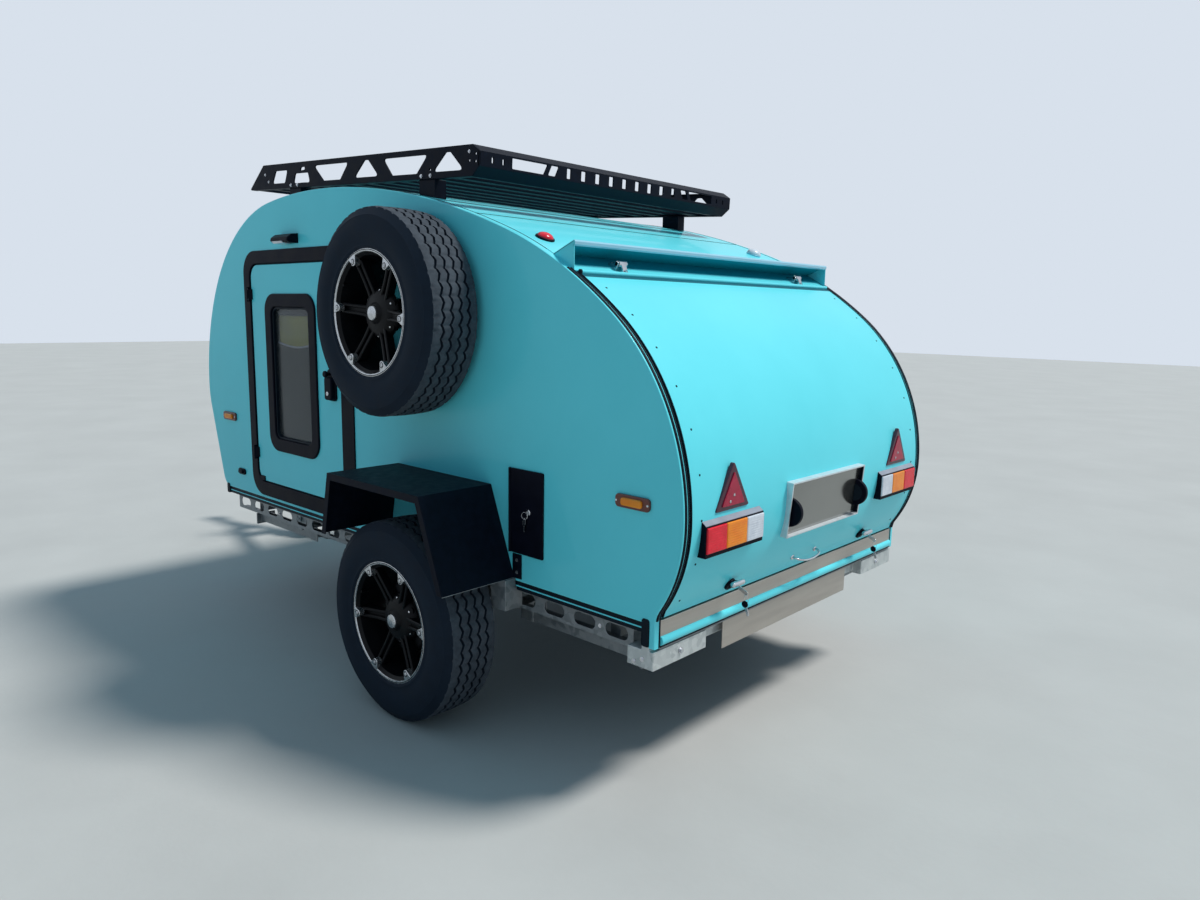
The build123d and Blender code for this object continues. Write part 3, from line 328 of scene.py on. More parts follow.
finishes = {
    "turquoisePaint": dict(dark=(100, 226, 238), light=(108, 232, 244), scale=2.2, rough=(0.32, 0.38),
                           bump=0.02, bumpScale=14, bumpDepth=0.0005, coat=0.15, Coat_Roughness=0.06,
                           specular=0.15),
    # darker copy of the turquoise paint: painted shade for the hood's underside and the roof beneath it
    "shadedPaint": dict(dark=(10, 146, 164), light=(16, 154, 172), scale=2.2, rough=(0.4, 0.5), bump=0.02,
                        bumpScale=14, specular=0.1),
    # dark teal painted as the shadow that the hatch bead casts on the skin
    "deepPaint": dict(dark=(6, 92, 108), light=(10, 100, 116), scale=2.2, rough=(0.4, 0.5), bump=0.02,
                      bumpScale=14, specular=0.1),
    # pale paint: on the hood's lip a painted sky highlight, and the base of the right roof dome
    "palePaint": dict(dark=(150, 206, 226), light=(162, 214, 234), scale=3, rough=(0.2, 0.28), bump=0.02,
                      bumpScale=20, coat=0.4),
    "blackPowder": dict(dark=(8, 13, 24), light=(14, 21, 35), scale=40, rough=(0.45, 0.58), bump=0.5,
                        bumpScale=700, bumpDepth=0.0003, specular=0.08),
    "blackPlastic": dict(dark=(8, 11, 22), light=(13, 17, 31), scale=14, rough=(0.42, 0.54), bump=0.15,
                         bumpScale=900, bumpDepth=0.0002, specular=0.07),
    "rubberSeal": dict(dark=(8, 20, 30), light=(14, 29, 41), scale=30, rough=(0.42, 0.6), bump=0.2,
                       bumpScale=500, specular=0.12),
    "tyreRubber": dict(dark=(21, 31, 43), light=(29, 40, 53), scale=18, rough=(0.65, 0.8), bump=0.25,
                       bumpScale=350, specular=0.12),
    "tyreTread": dict(dark=(56, 62, 70), light=(82, 88, 96), scale=32, rough=(0.75, 0.9), bump=0.5,
                      bumpScale=260, bumpDepth=0.0006, specular=0.15),
    # zinc darkened as painted shade for the parts in the trailer's shadow; the next finish is a lighter copy
    # of the same zinc, painted as sunlight on the rear beam
    "shadedZinc": dict(dark=(112, 118, 122), light=(148, 152, 154), spots=55, rough=(0.34, 0.54),
                       metallic=0.45, bump=0.25, bumpScale=90),
    "sunlitZinc": dict(dark=(176, 181, 181), light=(214, 217, 215), spots=55, rough=(0.34, 0.5),
                      metallic=0.35, bump=0.25, bumpScale=90),
    "brightSteel": dict(dark=(206, 211, 215), light=(226, 230, 233), scale=3, stretch=(1, 12, 12),
                        rough=(0.3, 0.4), metallic=0.3, bump=0.05, bumpScale=30),
    "stainless": dict(dark=(176, 168, 160), light=(190, 182, 173), scale=3, stretch=(12, 1, 12),
                      rough=(0.3, 0.36), metallic=0.8, bump=0.05, bumpScale=30),
    "machinedRing": dict(dark=(176, 178, 180), light=(214, 216, 218), scale=60, rough=(0.2, 0.34),
                         metallic=0.9, bump=0.1, bumpScale=300),
    "wheelBlack": dict(dark=(5, 7, 10), light=(9, 11, 15), scale=12, rough=(0.36, 0.46), bump=0.05,
                       bumpScale=120, specular=0.14),
    "darkGlass": dict(dark=(214, 220, 222), light=(222, 228, 230), scale=3, rough=(0.03, 0.06),
                      Transmission_Weight=0.96, IOR=1.2, specular=0.5),
    "slateBlind": dict(dark=(19, 30, 39), light=(25, 37, 46), scale=6, stretch=(1, 1, 30), rough=(0.6, 0.8),
                       bump=0.04, bumpScale=120, specular=0.1),
    "oliveNet": dict(dark=(112, 114, 40), light=(142, 140, 60), scale=9, rough=(0.7, 0.9), bump=0.3,
                     bumpScale=600),
    # pale grey: the blind's bottom bar, and on the tail lamps' top faces a painted highlight
    "paleGrey": dict(dark=(136, 139, 152), light=(158, 161, 174), scale=9, rough=(0.3, 0.45), bump=0.1,
                     bumpScale=150),
    "redLens": dict(dark=(222, 16, 38), light=(244, 30, 56), scale=25, rough=(0.16, 0.26), bump=0.3,
                    bumpScale=160, bumpDepth=0.0005, coat=0.2, specular=0.25),
    "redReflector": dict(dark=(156, 20, 52), light=(178, 30, 66), scale=30, rough=(0.16, 0.26), bump=0.3,
                         bumpScale=160, bumpDepth=0.0005, coat=0.2, specular=0.25),
    "redRim": dict(dark=(58, 12, 36), light=(72, 18, 46), scale=20, rough=(0.25, 0.36), bump=0.1,
                   bumpScale=200, coat=0.1),
    "amberLens": dict(dark=(246, 132, 18), light=(255, 156, 34), scale=25, rough=(0.16, 0.26), bump=0.3,
                      bumpScale=160, bumpDepth=0.0005, coat=0.2, specular=0.25),
    "brownRim": dict(dark=(96, 44, 34), light=(116, 54, 40), scale=20, rough=(0.3, 0.4), bump=0.1,
                     bumpScale=200, coat=0.1),
    "clearLens": dict(dark=(196, 202, 214), light=(232, 235, 242), scale=25, rough=(0.12, 0.22), bump=0.3,
                      bumpScale=160, bumpDepth=0.0005, coat=0.8),
    "plywood": dict(dark=(170, 132, 88), light=(206, 172, 126), scale=3, stretch=(1, 14, 14),
                    rough=(0.4, 0.6), bump=0.2, bumpScale=60, coat=0.2),
    "innerLining": dict(dark=(196, 194, 188), light=(214, 212, 206), scale=5, rough=(0.5, 0.65), bump=0.1,
                        bumpScale=200),
    "castBlack": dict(dark=(16, 18, 21), light=(28, 30, 34), scale=26, rough=(0.42, 0.6), metallic=0.3,
                      bump=0.6, bumpScale=140, bumpDepth=0.0006),
    "polished": dict(dark=(180, 182, 186), light=(222, 224, 228), scale=16, rough=(0.12, 0.22),
                     metallic=0.95, bump=0.04, bumpScale=80),
    "plateMirror": dict(dark=(142, 142, 138), light=(156, 156, 152), scale=2, rough=(0.12, 0.18),
                        metallic=0.9, bump=0.03, bumpScale=8, bumpDepth=0.001),
    "greyRubber": dict(dark=(40, 41, 43), light=(58, 59, 61), scale=22, rough=(0.6, 0.8), bump=0.3,
                       bumpScale=220),
}
finish = {name: makeFinish(name, **values) for name, values in finishes.items()}
print("finishes ready")


# Body line: the side outline of straight runs and arcs, walked from the tail over the roof to the nose

shell = {
    "halfWidth": 0.770, "wall": 0.028, "roof": 0.028, "sillZ": 0.520,
    "tailX": -0.052, "tailZ": 0.450, "tailRun": 0.078, "tailStrip": 0.020, "toeRadius": 0.070,
    "arcs": ((34, 0.060), (-34, 0.450), (-51, 0.715), (-19, 1.545), (-20, 3.330), (-8, 2.520), (-50, 0.745),
             (-32, 0.880), (-16.5, 0.300)),       # turn in degrees, radius
    "hatchTopX": 0.296, "hatchLowZ": 0.534, "hatchGap": 0.006, "seamX": 0.740, "noseZ": 1.180,
    "wallEdge": 0.0035, "panelEdge": 0.0015,
}
innerY = shell["halfWidth"] - shell["wall"]


lineStep = 0.004                # distance between the points of the body line


def bodyLine():                 # x, z and heading of each point
    x, z, heading = shell["tailX"], shell["tailZ"], math.radians(90)
    count = int(shell["tailRun"] / lineStep)
    line = [(x, z + shell["tailRun"] * k / count, heading) for k in range(count)]
    z += shell["tailRun"]
    for turn, radius in shell["arcs"]:
        turn = math.radians(turn)
        radius = math.copysign(radius, turn)
        cx = x - radius * math.sin(heading)
        cz = z + radius * math.cos(heading)
        count = max(4, int(turn * radius / lineStep))
        for k in range(count + 1):
            h = heading + turn * k / count
            line.append((cx + radius * math.sin(h), cz - radius * math.cos(h), h))
        x, z, heading = line.pop()
    fall = (z - shell["sillZ"]) / -math.sin(heading)
    count = int(fall / lineStep)
    for k in range(count + 1):
        run = fall * k / count
        line.append((x + run * math.cos(heading), z + run * math.sin(heading), heading))
    return line


bodyPoints = bodyLine()


def crossing(test):             # place in the line where the test turns true, as index and share
    values = [test(x, z) for x, z, h in bodyPoints]
    for i, (a, b) in enumerate(zip(values, values[1:])):
        if a < 0 <= b:
            return i - a / (b - a)
    raise ValueError("the body line has no such place")


def rising(z):
    return crossing(lambda px, pz: pz - z)


def forward(x):
    return crossing(lambda px, pz: px - x if pz > 0.8 else -1)


def falling(z):
    return crossing(lambda px, pz: z - pz if px > 1.5 else -1)


def linePoint(place):
    i = min(int(place), len(bodyPoints) - 2)
    t = place - i
    return tuple(a * (1 - t) + b * t for a, b in zip(bodyPoints[i], bodyPoints[i + 1]))


def stretch(start, stop, step=0.02):
    count = max(2, int((stop - start) * lineStep / step))
    return [linePoint(start + (stop - start) * k / count) for k in range(count + 1)]


def skinX(z):
    return linePoint(rising(z))[0]


def roofZ(x):
    return linePoint(forward(x))[1]


def skinAt(place):              # x, z and the direction outwards
    x, z, h = linePoint(place)
    return x, z, Vector((-math.sin(h), 0, math.cos(h)))


def sweepIn(bm, line, section, marks=None):      # section: y, distance outwards; closed with end caps
    rings = []
    for x, z, h in line:
        rings.append([bm.verts.new(at(x - math.sin(h) * out, y, z + math.cos(h) * out))
                      for y, out in section])
    for first, second in zip(rings, rings[1:]):
        for k in range(len(section)):
            k2 = (k + 1) % len(section)
            face = bm.faces.new((first[k], first[k2], second[k2], second[k]))
            face.material_index = marks[k] if marks else 0
    capEnds(bm, rings)


def barIn(bm, section, half):           # a section of the side view, run from side to side
    loftIn(bm, [[bm.verts.new(at(x, y, z)) for x, z in section] for y in (-half, half)])


def panelSection(half, thick, spans=1):
    outer = [(-half + 2 * half * k / spans, 0) for k in range(spans + 1)]
    inner = [(half - 2 * half * k / spans, -thick) for k in range(spans + 1)]
    return outer + inner, [0] * spans + [0] + [1] * spans + [0]


def bandSection(y0, y1, low, high):          # rubber band with a rounded face
    half = (y1 - y0) / 2
    middle = (y0 + y1) / 2
    top = [(middle + half * c, high - (high - low) * 0.35 * abs(c) ** 3)
           for c in (-1, -0.75, -0.35, 0.35, 0.75, 1)]
    return [(y0, low)] + top + [(y1, low)]


def mirrorSection(section):
    return [(-y, out) for y, out in reversed(section)]


sillPlace = rising(shell["hatchLowZ"])
hatchTopPlace = forward(shell["hatchTopX"])
seamPlace = forward(shell["seamX"])
nosePlace = falling(shell["noseZ"])
endPlace = len(bodyPoints) - 1.001


# Doors, the same on both sides

door = {
    "rearX": 1.525, "length": 0.720, "lowZ": 0.595, "height": 0.956, "radius": 0.060, "gap": 0.005,
    "band": 0.054, "latchBand": 0.088, "footBand": 0.062, "frameRadius": 0.096, "proud": 0.005, "lap": 0.009,
}
door["frontX"] = door["rearX"] + door["length"]
door["topZ"] = door["lowZ"] + door["height"]
flapPanel = {"rearX": 0.389, "length": 0.156, "lowZ": 0.614, "height": 0.272, "proud": 0.006, "plateX": 0.535,
             "hingeX": 0.5405, "hingeY": 0.7748, "hingeRadius": 0.0045, "pin": 0.002, "ear": 0.020}
flapPanel["frontX"] = flapPanel["rearX"] + flapPanel["length"]
flapPanel["topZ"] = flapPanel["lowZ"] + flapPanel["height"]
frameRect = (door["rearX"] - door["latchBand"], door["frontX"] + door["band"],
             door["lowZ"] - door["footBand"], door["topZ"] + door["band"])


def wallOutline():
    points = [(x, z) for x, z, h in stretch(0, endPlace, 0.012)]
    fromX, fromZ, heading = linePoint(endPlace)
    back = shell["toeRadius"] * math.tan((math.pi + heading) / 2)
    while math.dist(points[-1], (fromX, shell["sillZ"])) < back:
        points.pop()
    corner = Vector((fromX, shell["sillZ"]))
    start = corner - Vector((math.cos(heading), math.sin(heading))) * back
    points += bend(start, corner, corner - Vector((back, 0)), 8)
    inner = shell["tailX"] + shell["tailStrip"]
    return points + [(inner, shell["sillZ"]), (inner, shell["tailZ"])]


def buildWalls():
    for side, wall, place in sides:
        bm = bmesh.new()
        holes = [roundRect(*shrunk(frameRect, door["lap"]), door["frameRadius"] - door["lap"], 10)]
        if side == "Left":
            rect = (flapPanel["rearX"], flapPanel["frontX"], flapPanel["lowZ"], flapPanel["topZ"])
            holes.append(roundRect(*shrunk(rect, door["lap"]), 0.004, 3))
        plateIn(bm, [wallOutline()] + holes, innerY, shell["halfWidth"], place, shell["wallEdge"],
                0, 0.001, 3)
        newPiece("wall" + side, bm, "trailer", "turquoisePaint", replaces="side_wall_" + side.lower())
    print("walls")


def buildRoof():
    section, marks = panelSection(innerY, shell["roof"], 6)
    rows = (("roofRear", hatchTopPlace + 0.005 / lineStep, seamPlace - 0.25, "roof_rear"),
            ("roofFront", seamPlace + 0.25, nosePlace - 0.2, "roof_front"),
            ("frontPanel", nosePlace + 0.2, endPlace, "front_panel"))
    for name, start, stop, node in rows:
        bm = bmesh.new()
        sweepIn(bm, stretch(start, stop, 0.025), section, marks)
        newPiece(name, bm, "trailer", "turquoisePaint innerLining", shell["panelEdge"], replaces=node)
    bm = bmesh.new()
    section = [(-innerY, -0.004), (-innerY, 0.0008), (innerY, 0.0008), (innerY, -0.004)]
    for place in (seamPlace, nosePlace):
        sweepIn(bm, stretch(place - 0.6, place + 0.6, 0.001), section)
    newPiece("roofSeams", bm, "trailer", "rubberSeal")
    print("roof")


seal = {"wallY": (0.7530, 0.7640), "wallProud": 0.0032, "tailY": (0.7425, 0.7502), "hatchY": (0.7315, 0.7360),
        "proud": 0.0022, "low": -0.006, "roofY": (0.7395, 0.7440), "roofProud": 0.0012,
        "trimRearX": -0.032, "trimFrontX": 2.575, "trimOut": 0.7665,
        "caps": ((-0.035, 0.452), (2.548, 0.488)),                                # rear edge, low edge
        "trim": ((0.506, 0.5205, 0), (0.502, 0.506, 1), (0.490, 0.502, 0))}       # low, top, finish


def buildSeals():
    bm = bmesh.new()
    rows = ((stretch(sillPlace - 0.5, hatchTopPlace + 4, 0.02), "wallY", "wallProud"),
            (stretch(0.5, hatchTopPlace + 4, 0.015), "tailY", "proud"),
            (stretch(hatchTopPlace + 5, endPlace, 0.025), "roofY", "roofProud"))
    for run, band, proud in rows:
        section = bandSection(*seal[band], seal["low"], seal[proud])
        sweepIn(bm, run, section)
        sweepIn(bm, run, mirrorSection(section))
    for side, wall, place in sides:         # strip under the wall and its end caps
        for low, top, mark in seal["trim"]:
            boxIn(bm, seal["trimRearX"], seal["trimFrontX"], wall * innerY,
                  wall * (seal["trimOut"] + 0.001 * mark), low, top, mark)
        for x, low in seal["caps"]:
            plateIn(bm, [roundRect(x, x + 0.028, low, 0.534, 0.008, 4)], 0.758, 0.7735, place, 0.003)
    newPiece("sealStrips", bm, "trailer", "rubberSeal turquoisePaint", replaces="body_seals")
    bm = bmesh.new()
    section = bandSection(*seal["hatchY"], seal["low"], seal["proud"])
    for band in (section, mirrorSection(section)):
        sweepIn(bm, stretch(sillPlace + 0.5, hatchTopPlace - 0.5, 0.02), band)
    newPiece("hatchEdgeSeals", bm, "hatch", "rubberSeal")
    print("seals")


buildWalls()
buildRoof()
buildSeals()


# Rear hatch: panel, rivets, top bead, hinges and the rain hood

hatch = {"rivetY": 0.688, "rivetStep": 0.125, "beadX": 0.2885, "beadHalf": 0.732, "beadRadius": 0.007,
         "beadShadowWidth": 0.012, "rivet": ((0.0034, -0.001), (0.0034, 0.0005), (0.0024, 0.0013), (0, 0.0016))}


def buildHatch():
    section, marks = panelSection(innerY - shell["hatchGap"], shell["roof"], 8)
    bm = bmesh.new()
    sweepIn(bm, stretch(sillPlace, hatchTopPlace, 0.02), section, marks)
    newPiece("hatchPanel", bm, "hatch", "turquoisePaint innerLining", 0.003, 3, replaces="hatch_panel")
    bm = bmesh.new()
    place = sillPlace + 12
    while place < hatchTopPlace - 12:
        x, z, out = skinAt(place)
        for side in (-1, 1):
            turnedIn(bm, hatch["rivet"], at(x, side * hatch["rivetY"], z), out, 12)
        place += hatch["rivetStep"] / lineStep
    newPiece("hatchRivets", bm, "hatch", "blackPlastic")
    bm = bmesh.new()
    x, z, out = skinAt(forward(hatch["beadX"]))
    centre = at(x, 0, z) + out * 0.003
    half, radius = hatch["beadHalf"], hatch["beadRadius"]
    rodIn(bm, centre - alongY * half, centre + alongY * half, radius, 24)
    rearX = hatch["beadX"] - radius
    edgeX = rearX - hatch["beadShadowWidth"]         # dark sheet on the skin behind the bead, painted as the bead's shadow
    # thin sheet whose dark paint is a painted shadow of the bead
    beadShadowSheet = [(rearX + 0.004, roofZ(rearX) + 0.003), (edgeX + 0.002, roofZ(edgeX) + 0.0026),
           (edgeX, roofZ(edgeX) - 0.001), (rearX + 0.004, roofZ(rearX) - 0.001)]
    plateIn(bm, [beadShadowSheet], -half, half, onSide, 0.0008, 1)
    cap = ((radius + 0.0003, half - 0.004), (radius + 0.0003, half + 0.001), (0.005, half + 0.0026),
           (0, half + 0.003))
    for side in (-1, 1):
        turnedIn(bm, cap, centre, alongY * side, 24, 2)
    newPiece("hatchBead", bm, "hatch", "turquoisePaint deepPaint rubberSeal")
    print("hatch")


hinge = {"y": 0.529, "half": 0.017, "pin": 0.005, "tube": 0.0095, "ear": 0.006, "foot": 0.010, "tabX": 0.2895}
pivotX = shell["hatchTopX"] + 0.012
pivotZ = roofZ(pivotX) + 0.022


def buildHinges():
    moving = bmesh.new()
    fixed = bmesh.new()
    half, pin, tabX, edgeX = hinge["half"], hinge["pin"], hinge["tabX"], shell["hatchTopX"] - 0.0005
    farX, nearX = pivotX + 0.034, pivotX + 0.003
    tab = [(pivotX - 0.0085, pivotZ + 0.0030), (tabX, roofZ(tabX) + 0.012), (tabX, roofZ(tabX) - 0.001),
           (edgeX, roofZ(edgeX) - 0.001), (pivotX - 0.0070, pivotZ - 0.0078)]
    ear = [(pivotX - 0.008, pivotZ + 0.003), (pivotX - 0.002, pivotZ + 0.0095),
           (pivotX + 0.006, pivotZ + 0.008),
           (farX, roofZ(farX) + 0.006), (farX, roofZ(farX) - 0.002), (nearX, roofZ(nearX) - 0.001)]
    for y in (-hinge["y"], hinge["y"]):
        centre = at(pivotX, y, pivotZ)
        sleeveIn(moving, centre, alongY, pin + 0.0004, hinge["tube"], -half, half, 28)
        plateIn(moving, [tab], y - hinge["foot"], y + hinge["foot"], onSide, 0.0012)
        x, z, out = skinAt(forward(tabX + 0.004))
        boltIn(moving, at(x, y, z) + out * 0.0110, out, 0.006)
        reach = alongY * (half + hinge["ear"])
        rodIn(fixed, centre - reach, centre + reach, pin, 16)
        for side in (-1, 1):
            low, high = sorted((y + side * (half + 0.001), y + side * (half + hinge["ear"])))
            plateIn(fixed, [ear], low, high, onSide, 0.0012)
    newPiece("hatchHingeLeaves", moving, "hatch", "polished", replaces="hatch_hinges")
    newPiece("roofHingeEars", fixed, "trailer", "polished", replaces="hinge_rail")
    print("hinges")


hood = {"rootX": 0.384, "lipX": 0.300, "rise": 0.086, "sheet": 0.003, "half": 0.744, "lipDrop": 0.014,
        "foot": ((0.330, 0.0012), (0.358, 0.0014), (0.386, 0.0014), (0.386, -0.001), (0.358, -0.001),
                 (0.330, -0.001))}          # x, height over the roof


def buildHood():
    rootX, lipX, half, sheet = hood["rootX"], hood["lipX"], hood["half"], hood["sheet"]
    rootZ = roofZ(rootX) + 0.001
    lipZ = roofZ(lipX) + hood["rise"]
    outer = [Vector(point) for point in (
        (rootX + 0.028, roofZ(rootX + 0.028) + 0.0012), (rootX, rootZ), (lipX + 0.004, lipZ - 0.003),
        (lipX, lipZ - 0.001), (lipX - 0.0035, lipZ - 0.006), (lipX - 0.0025, lipZ - hood["lipDrop"]),
        (lipX + 0.004, lipZ - hood["lipDrop"] - 0.004))]
    inner = []
    for before, point, after in zip(outer[:1] + outer[:-1], outer, outer[1:] + outer[-1:]):
        run = (after - before).normalized()
        inner.append(point + Vector((-run.y, run.x)) * sheet)
    section = outer + inner[::-1]
    bm = bmesh.new()
    rings = [[bm.verts.new(at(point.x, y, point.y)) for point in section] for y in (-half, half)]
    for k in range(len(section)):
        k2 = (k + 1) % len(section)
        face = bm.faces.new((rings[0][k], rings[0][k2], rings[1][k2], rings[1][k]))
        # inner faces take the darker paint as painted shade, the lip faces take the pale paint as a painted
        # highlight
        face.material_index = 1 if k >= len(outer) else 2 if k >= 2 else 0
    capEnds(bm, rings)
    # thin foot sheet on the roof under the hood, in the darker paint: painted shade where the hood shades the
    # roof
    foot = [(x, roofZ(x) + rise) for x, rise in hood["foot"]]
    plateIn(bm, [foot], -half + 0.004, half - 0.004, onSide, 0.0004, 1)
    cheek = [(rootX + 0.002, rootZ), (lipX, lipZ - 0.001)]
    for k in range(8):
        x = lipX + (rootX + 0.002 - lipX) * k / 7
        cheek.append((x, roofZ(x) - 0.0035))
    for side, wall, place in sides:
        plateIn(bm, [cheek], half - sheet, half, place, 0.0008)
    newPiece("rainHood", bm, "trailer", "turquoisePaint shadedPaint palePaint", 0.0010,
             replaces="hatch_hood")
    print("hood")


buildHatch()
buildHinges()
buildHood()


# Door frames, leaves, windows, handles and hinges

window = {"rearGap": 0.175, "length": 0.414, "lowGap": 0.157, "height": 0.672, "radius": 0.072, "band": 0.054,
          "holeRadius": 0.036, "proud": 0.008, "glass": 0.006, "blindShare": 0.74}
handle = {"gap": 0.062, "z": 1.070, "half": 0.030, "height": 0.124, "base": 0.009,
          "body": 0.026, "knob": 0.013}
doorHinge = {"radius": 0.006, "pin": 0.003, "height": 0.044, "inset": 0.130, "ear": 0.009, "reach": 0.013,
             "web": 0.017,
             "screw": ((0.004, 0), (0.0036, 0.0012), (0.0018, 0.0014), (0.0015, 0.0006), (0, 0.0006))}
doorRect = (door["rearX"], door["frontX"], door["lowZ"], door["topZ"])
windowRect = (door["rearX"] + window["rearGap"], door["rearX"] + window["rearGap"] + window["length"],
              door["lowZ"] + window["lowGap"], door["lowZ"] + window["lowGap"] + window["height"])
glassRect = shrunk(windowRect, window["band"])
hingeX = door["frontX"] + 0.004
hingeY = shell["halfWidth"] + door["proud"] + doorHinge["radius"] + 0.001
hingeHeights = (door["lowZ"] + doorHinge["inset"], door["topZ"] - doorHinge["inset"])


def buildFrame(side, wall, place):
    out = shell["halfWidth"]
    face = out + door["proud"]
    opening = roundRect(*doorRect, door["radius"], 8)
    bm = bmesh.new()
    plateIn(bm, [roundRect(*frameRect, door["frameRadius"], 12), opening], out - 0.0005, face, place,
            0.0025, 0, 0.0002, 3)
    inset = roundRect(*shrunk(frameRect, door["lap"] + 0.001), door["frameRadius"] - door["lap"], 10)
    plateIn(bm, [inset, opening], innerY - 0.002, out - 0.0003, place, 0.0003)
    trim = shrunk(doorRect, 0.0006)
    plateIn(bm, [roundRect(*trim, door["radius"] - 0.0006, 8),
                 roundRect(*shrunk(trim, 0.0036), door["radius"] - 0.0042, 8)],
            out - 0.016, out - 0.003, place, 0.0012, 1)
    corner = (door["frontX"] - 0.060, door["frontX"] - 0.016, door["lowZ"] + 0.004, door["lowZ"] + 0.026)
    plateIn(bm, [roundRect(*corner, 0.004, 3)], out - 0.004, out + 0.0045, place, 0.002)
    half, ear = doorHinge["height"] / 2, doorHinge["ear"]
    for z in hingeHeights:
        for low, high in ((z - half - ear, z - half - 0.0005), (z + half + 0.0005, z + half + ear)):
            rodIn(bm, place(hingeX, low, hingeY), place(hingeX, high, hingeY), doorHinge["radius"], 20)
            plateIn(bm, [roundRect(hingeX, hingeX + doorHinge["reach"], low, high, 0.003, 2)], face - 0.001,
                    hingeY - 0.002, place, 0.0015)
        rodIn(bm, place(hingeX, z - half - 0.002, hingeY), place(hingeX, z + half + 0.002, hingeY),
              doorHinge["pin"], 12, 2)
    return newPiece("doorFrame" + side, bm, "trailer", "blackPlastic rubberSeal polished")


def buildLeaf(side, wall, place):
    out = shell["halfWidth"]
    body = "door_" + side.lower()
    bm = bmesh.new()
    rect = shrunk(doorRect, door["gap"])
    hole = roundRect(*shrunk(windowRect, door["lap"]), window["radius"] - door["lap"], 10)
    plateIn(bm, [roundRect(*rect, door["radius"] - door["gap"], 8), hole], innerY, out, place, 0.003, 0,
            0.001, 3)
    newPiece("doorLeaf" + side, bm, body, "turquoisePaint", replaces="door_leaf_" + side.lower())
    bm = bmesh.new()
    rootX = door["frontX"] - doorHinge["web"]
    web = [(rootX, out - 0.0003), (rootX, out + 0.004), (door["frontX"] - 0.010, out + 0.004),
           (hingeX - 0.0040, hingeY + 0.0030), (hingeX - 0.0048, hingeY - 0.0024),
           (door["frontX"] - 0.0055, out - 0.0003)]
    half = doorHinge["height"] / 2
    for z in hingeHeights:
        sleeveIn(bm, place(hingeX, z, hingeY), alongZ, doorHinge["pin"] + 0.0003, doorHinge["radius"], -half,
                 half, 20)
        plateIn(bm, [web], z - half, z + half, lambda u, v, height: at(u, wall * v, height), 0.0008)
        for dz in (-0.013, 0.013):
            turnedIn(bm, doorHinge["screw"], place(rootX + 0.005, z + dz, out + 0.0038), alongY * wall, 14)
    newPiece("doorHinges" + side, bm, body, "blackPlastic")


def buildWindow(side, wall, place):
    out = shell["halfWidth"]
    body = "door_" + side.lower()
    bm = bmesh.new()
    outer = roundRect(*windowRect, window["radius"], 12)
    hole = roundRect(*glassRect, window["holeRadius"], 8)
    plateIn(bm, [outer, hole], out - 0.0005, out + window["proud"], place, 0.0045, 0, 0.0002, 4)
    inset = roundRect(*shrunk(windowRect, door["lap"] + 0.001), window["radius"] - door["lap"], 10)
    plateIn(bm, [inset, hole], innerY, out - 0.0003, place, 0.0003)
    step = shrunk(glassRect, 0.0005)
    plateIn(bm, [roundRect(*step, window["holeRadius"] - 0.0005, 8),
                 roundRect(*shrunk(step, 0.009), window["holeRadius"] - 0.009, 8)],
            out - 0.010, out + 0.001, place, 0.003, 1, 0.0002, 3)
    newPiece("windowFrame" + side, bm, body, "blackPlastic rubberSeal",
             replaces="door_window_frame_" + side.lower())
    bm = bmesh.new()
    middle = out - shell["wall"] / 2
    plateIn(bm, [roundRect(*shrunk(glassRect, 0.001), window["holeRadius"], 8)], middle - window["glass"] / 2,
            middle + window["glass"] / 2, place, 0.0006)
    newPiece("windowPane" + side, bm, body, "darkGlass", replaces="door_glass_" + side.lower())
    bm = bmesh.new()                        # roller blind behind the pane, drawn most of the way up
    x0, x1, z0, z1 = shrunk(glassRect, 0.006)
    topZ = z0 + (z1 - z0) * window["blindShare"]

    def waveEdge(steps):
        return [(x1 + (x0 - x1) * k / steps, topZ - 0.016 * math.sin(math.pi * k / steps))
                for k in range(steps + 1)]

    plateIn(bm, [[(x0, z0), (x1, z0)] + waveEdge(8)], innerY + 0.001, innerY + 0.003, place, 0.0004)
    plateIn(bm, [roundRect(x0, x1, z1 - 0.030, z1, 0.006, 4)], innerY + 0.0005, innerY + 0.008, place, 0.002)
    tubeIn(bm, [place(x, z, innerY + 0.0045) for x, z in waveEdge(24)], 0.0040, 8, 1)
    plateIn(bm, [roundRect(x0, x1, topZ - 0.030, z1 - 0.020, 0.004, 2)], innerY - 0.004, innerY - 0.002,
            place, 0.0004, 2)
    newPiece("windowBlind" + side, bm, body, "slateBlind paleGrey oliveNet")


def buildHandle(side, wall, place):
    out = shell["halfWidth"]
    x, half = door["rearX"] + handle["gap"], handle["half"]
    low, high = handle["z"] - handle["height"] / 2, handle["z"] + handle["height"] / 2
    bm = bmesh.new()
    plateIn(bm, [roundRect(x - half, x + half, low, high, 0.014, 6)], out - 0.0002, out + handle["base"],
            place, 0.004, 0, 0.0002, 3)
    grip = roundRect(x - half + 0.004, x + half - 0.004, low + 0.004, high - 0.030, 0.010, 5)
    plateIn(bm, [grip], out + 0.004, out + handle["body"], place, 0.006, 0, 0.001, 3)
    knob = ((0.0065, 0), (0.0065, 0.016), (0.0095, 0.020), (handle["knob"], 0.025), (handle["knob"], 0.031),
            (0.010, 0.0338), (0, 0.0342))
    turnedIn(bm, knob, place(x + 0.006, high - 0.018, out + 0.002), alongY * wall, 28)
    lock = ((0.0085, 0), (0.0085, 0.0035), (0.0075, 0.0045), (0.0030, 0.0045), (0.0030, 0.0025), (0, 0.0025))
    turnedIn(bm, lock, place(x - 0.002, low + 0.030, out + handle["body"] - 0.001), alongY * wall, 24, 1)
    newPiece("doorHandle" + side, bm, "door_" + side.lower(), "blackPlastic polished",
             replaces="door_handle_" + side.lower())


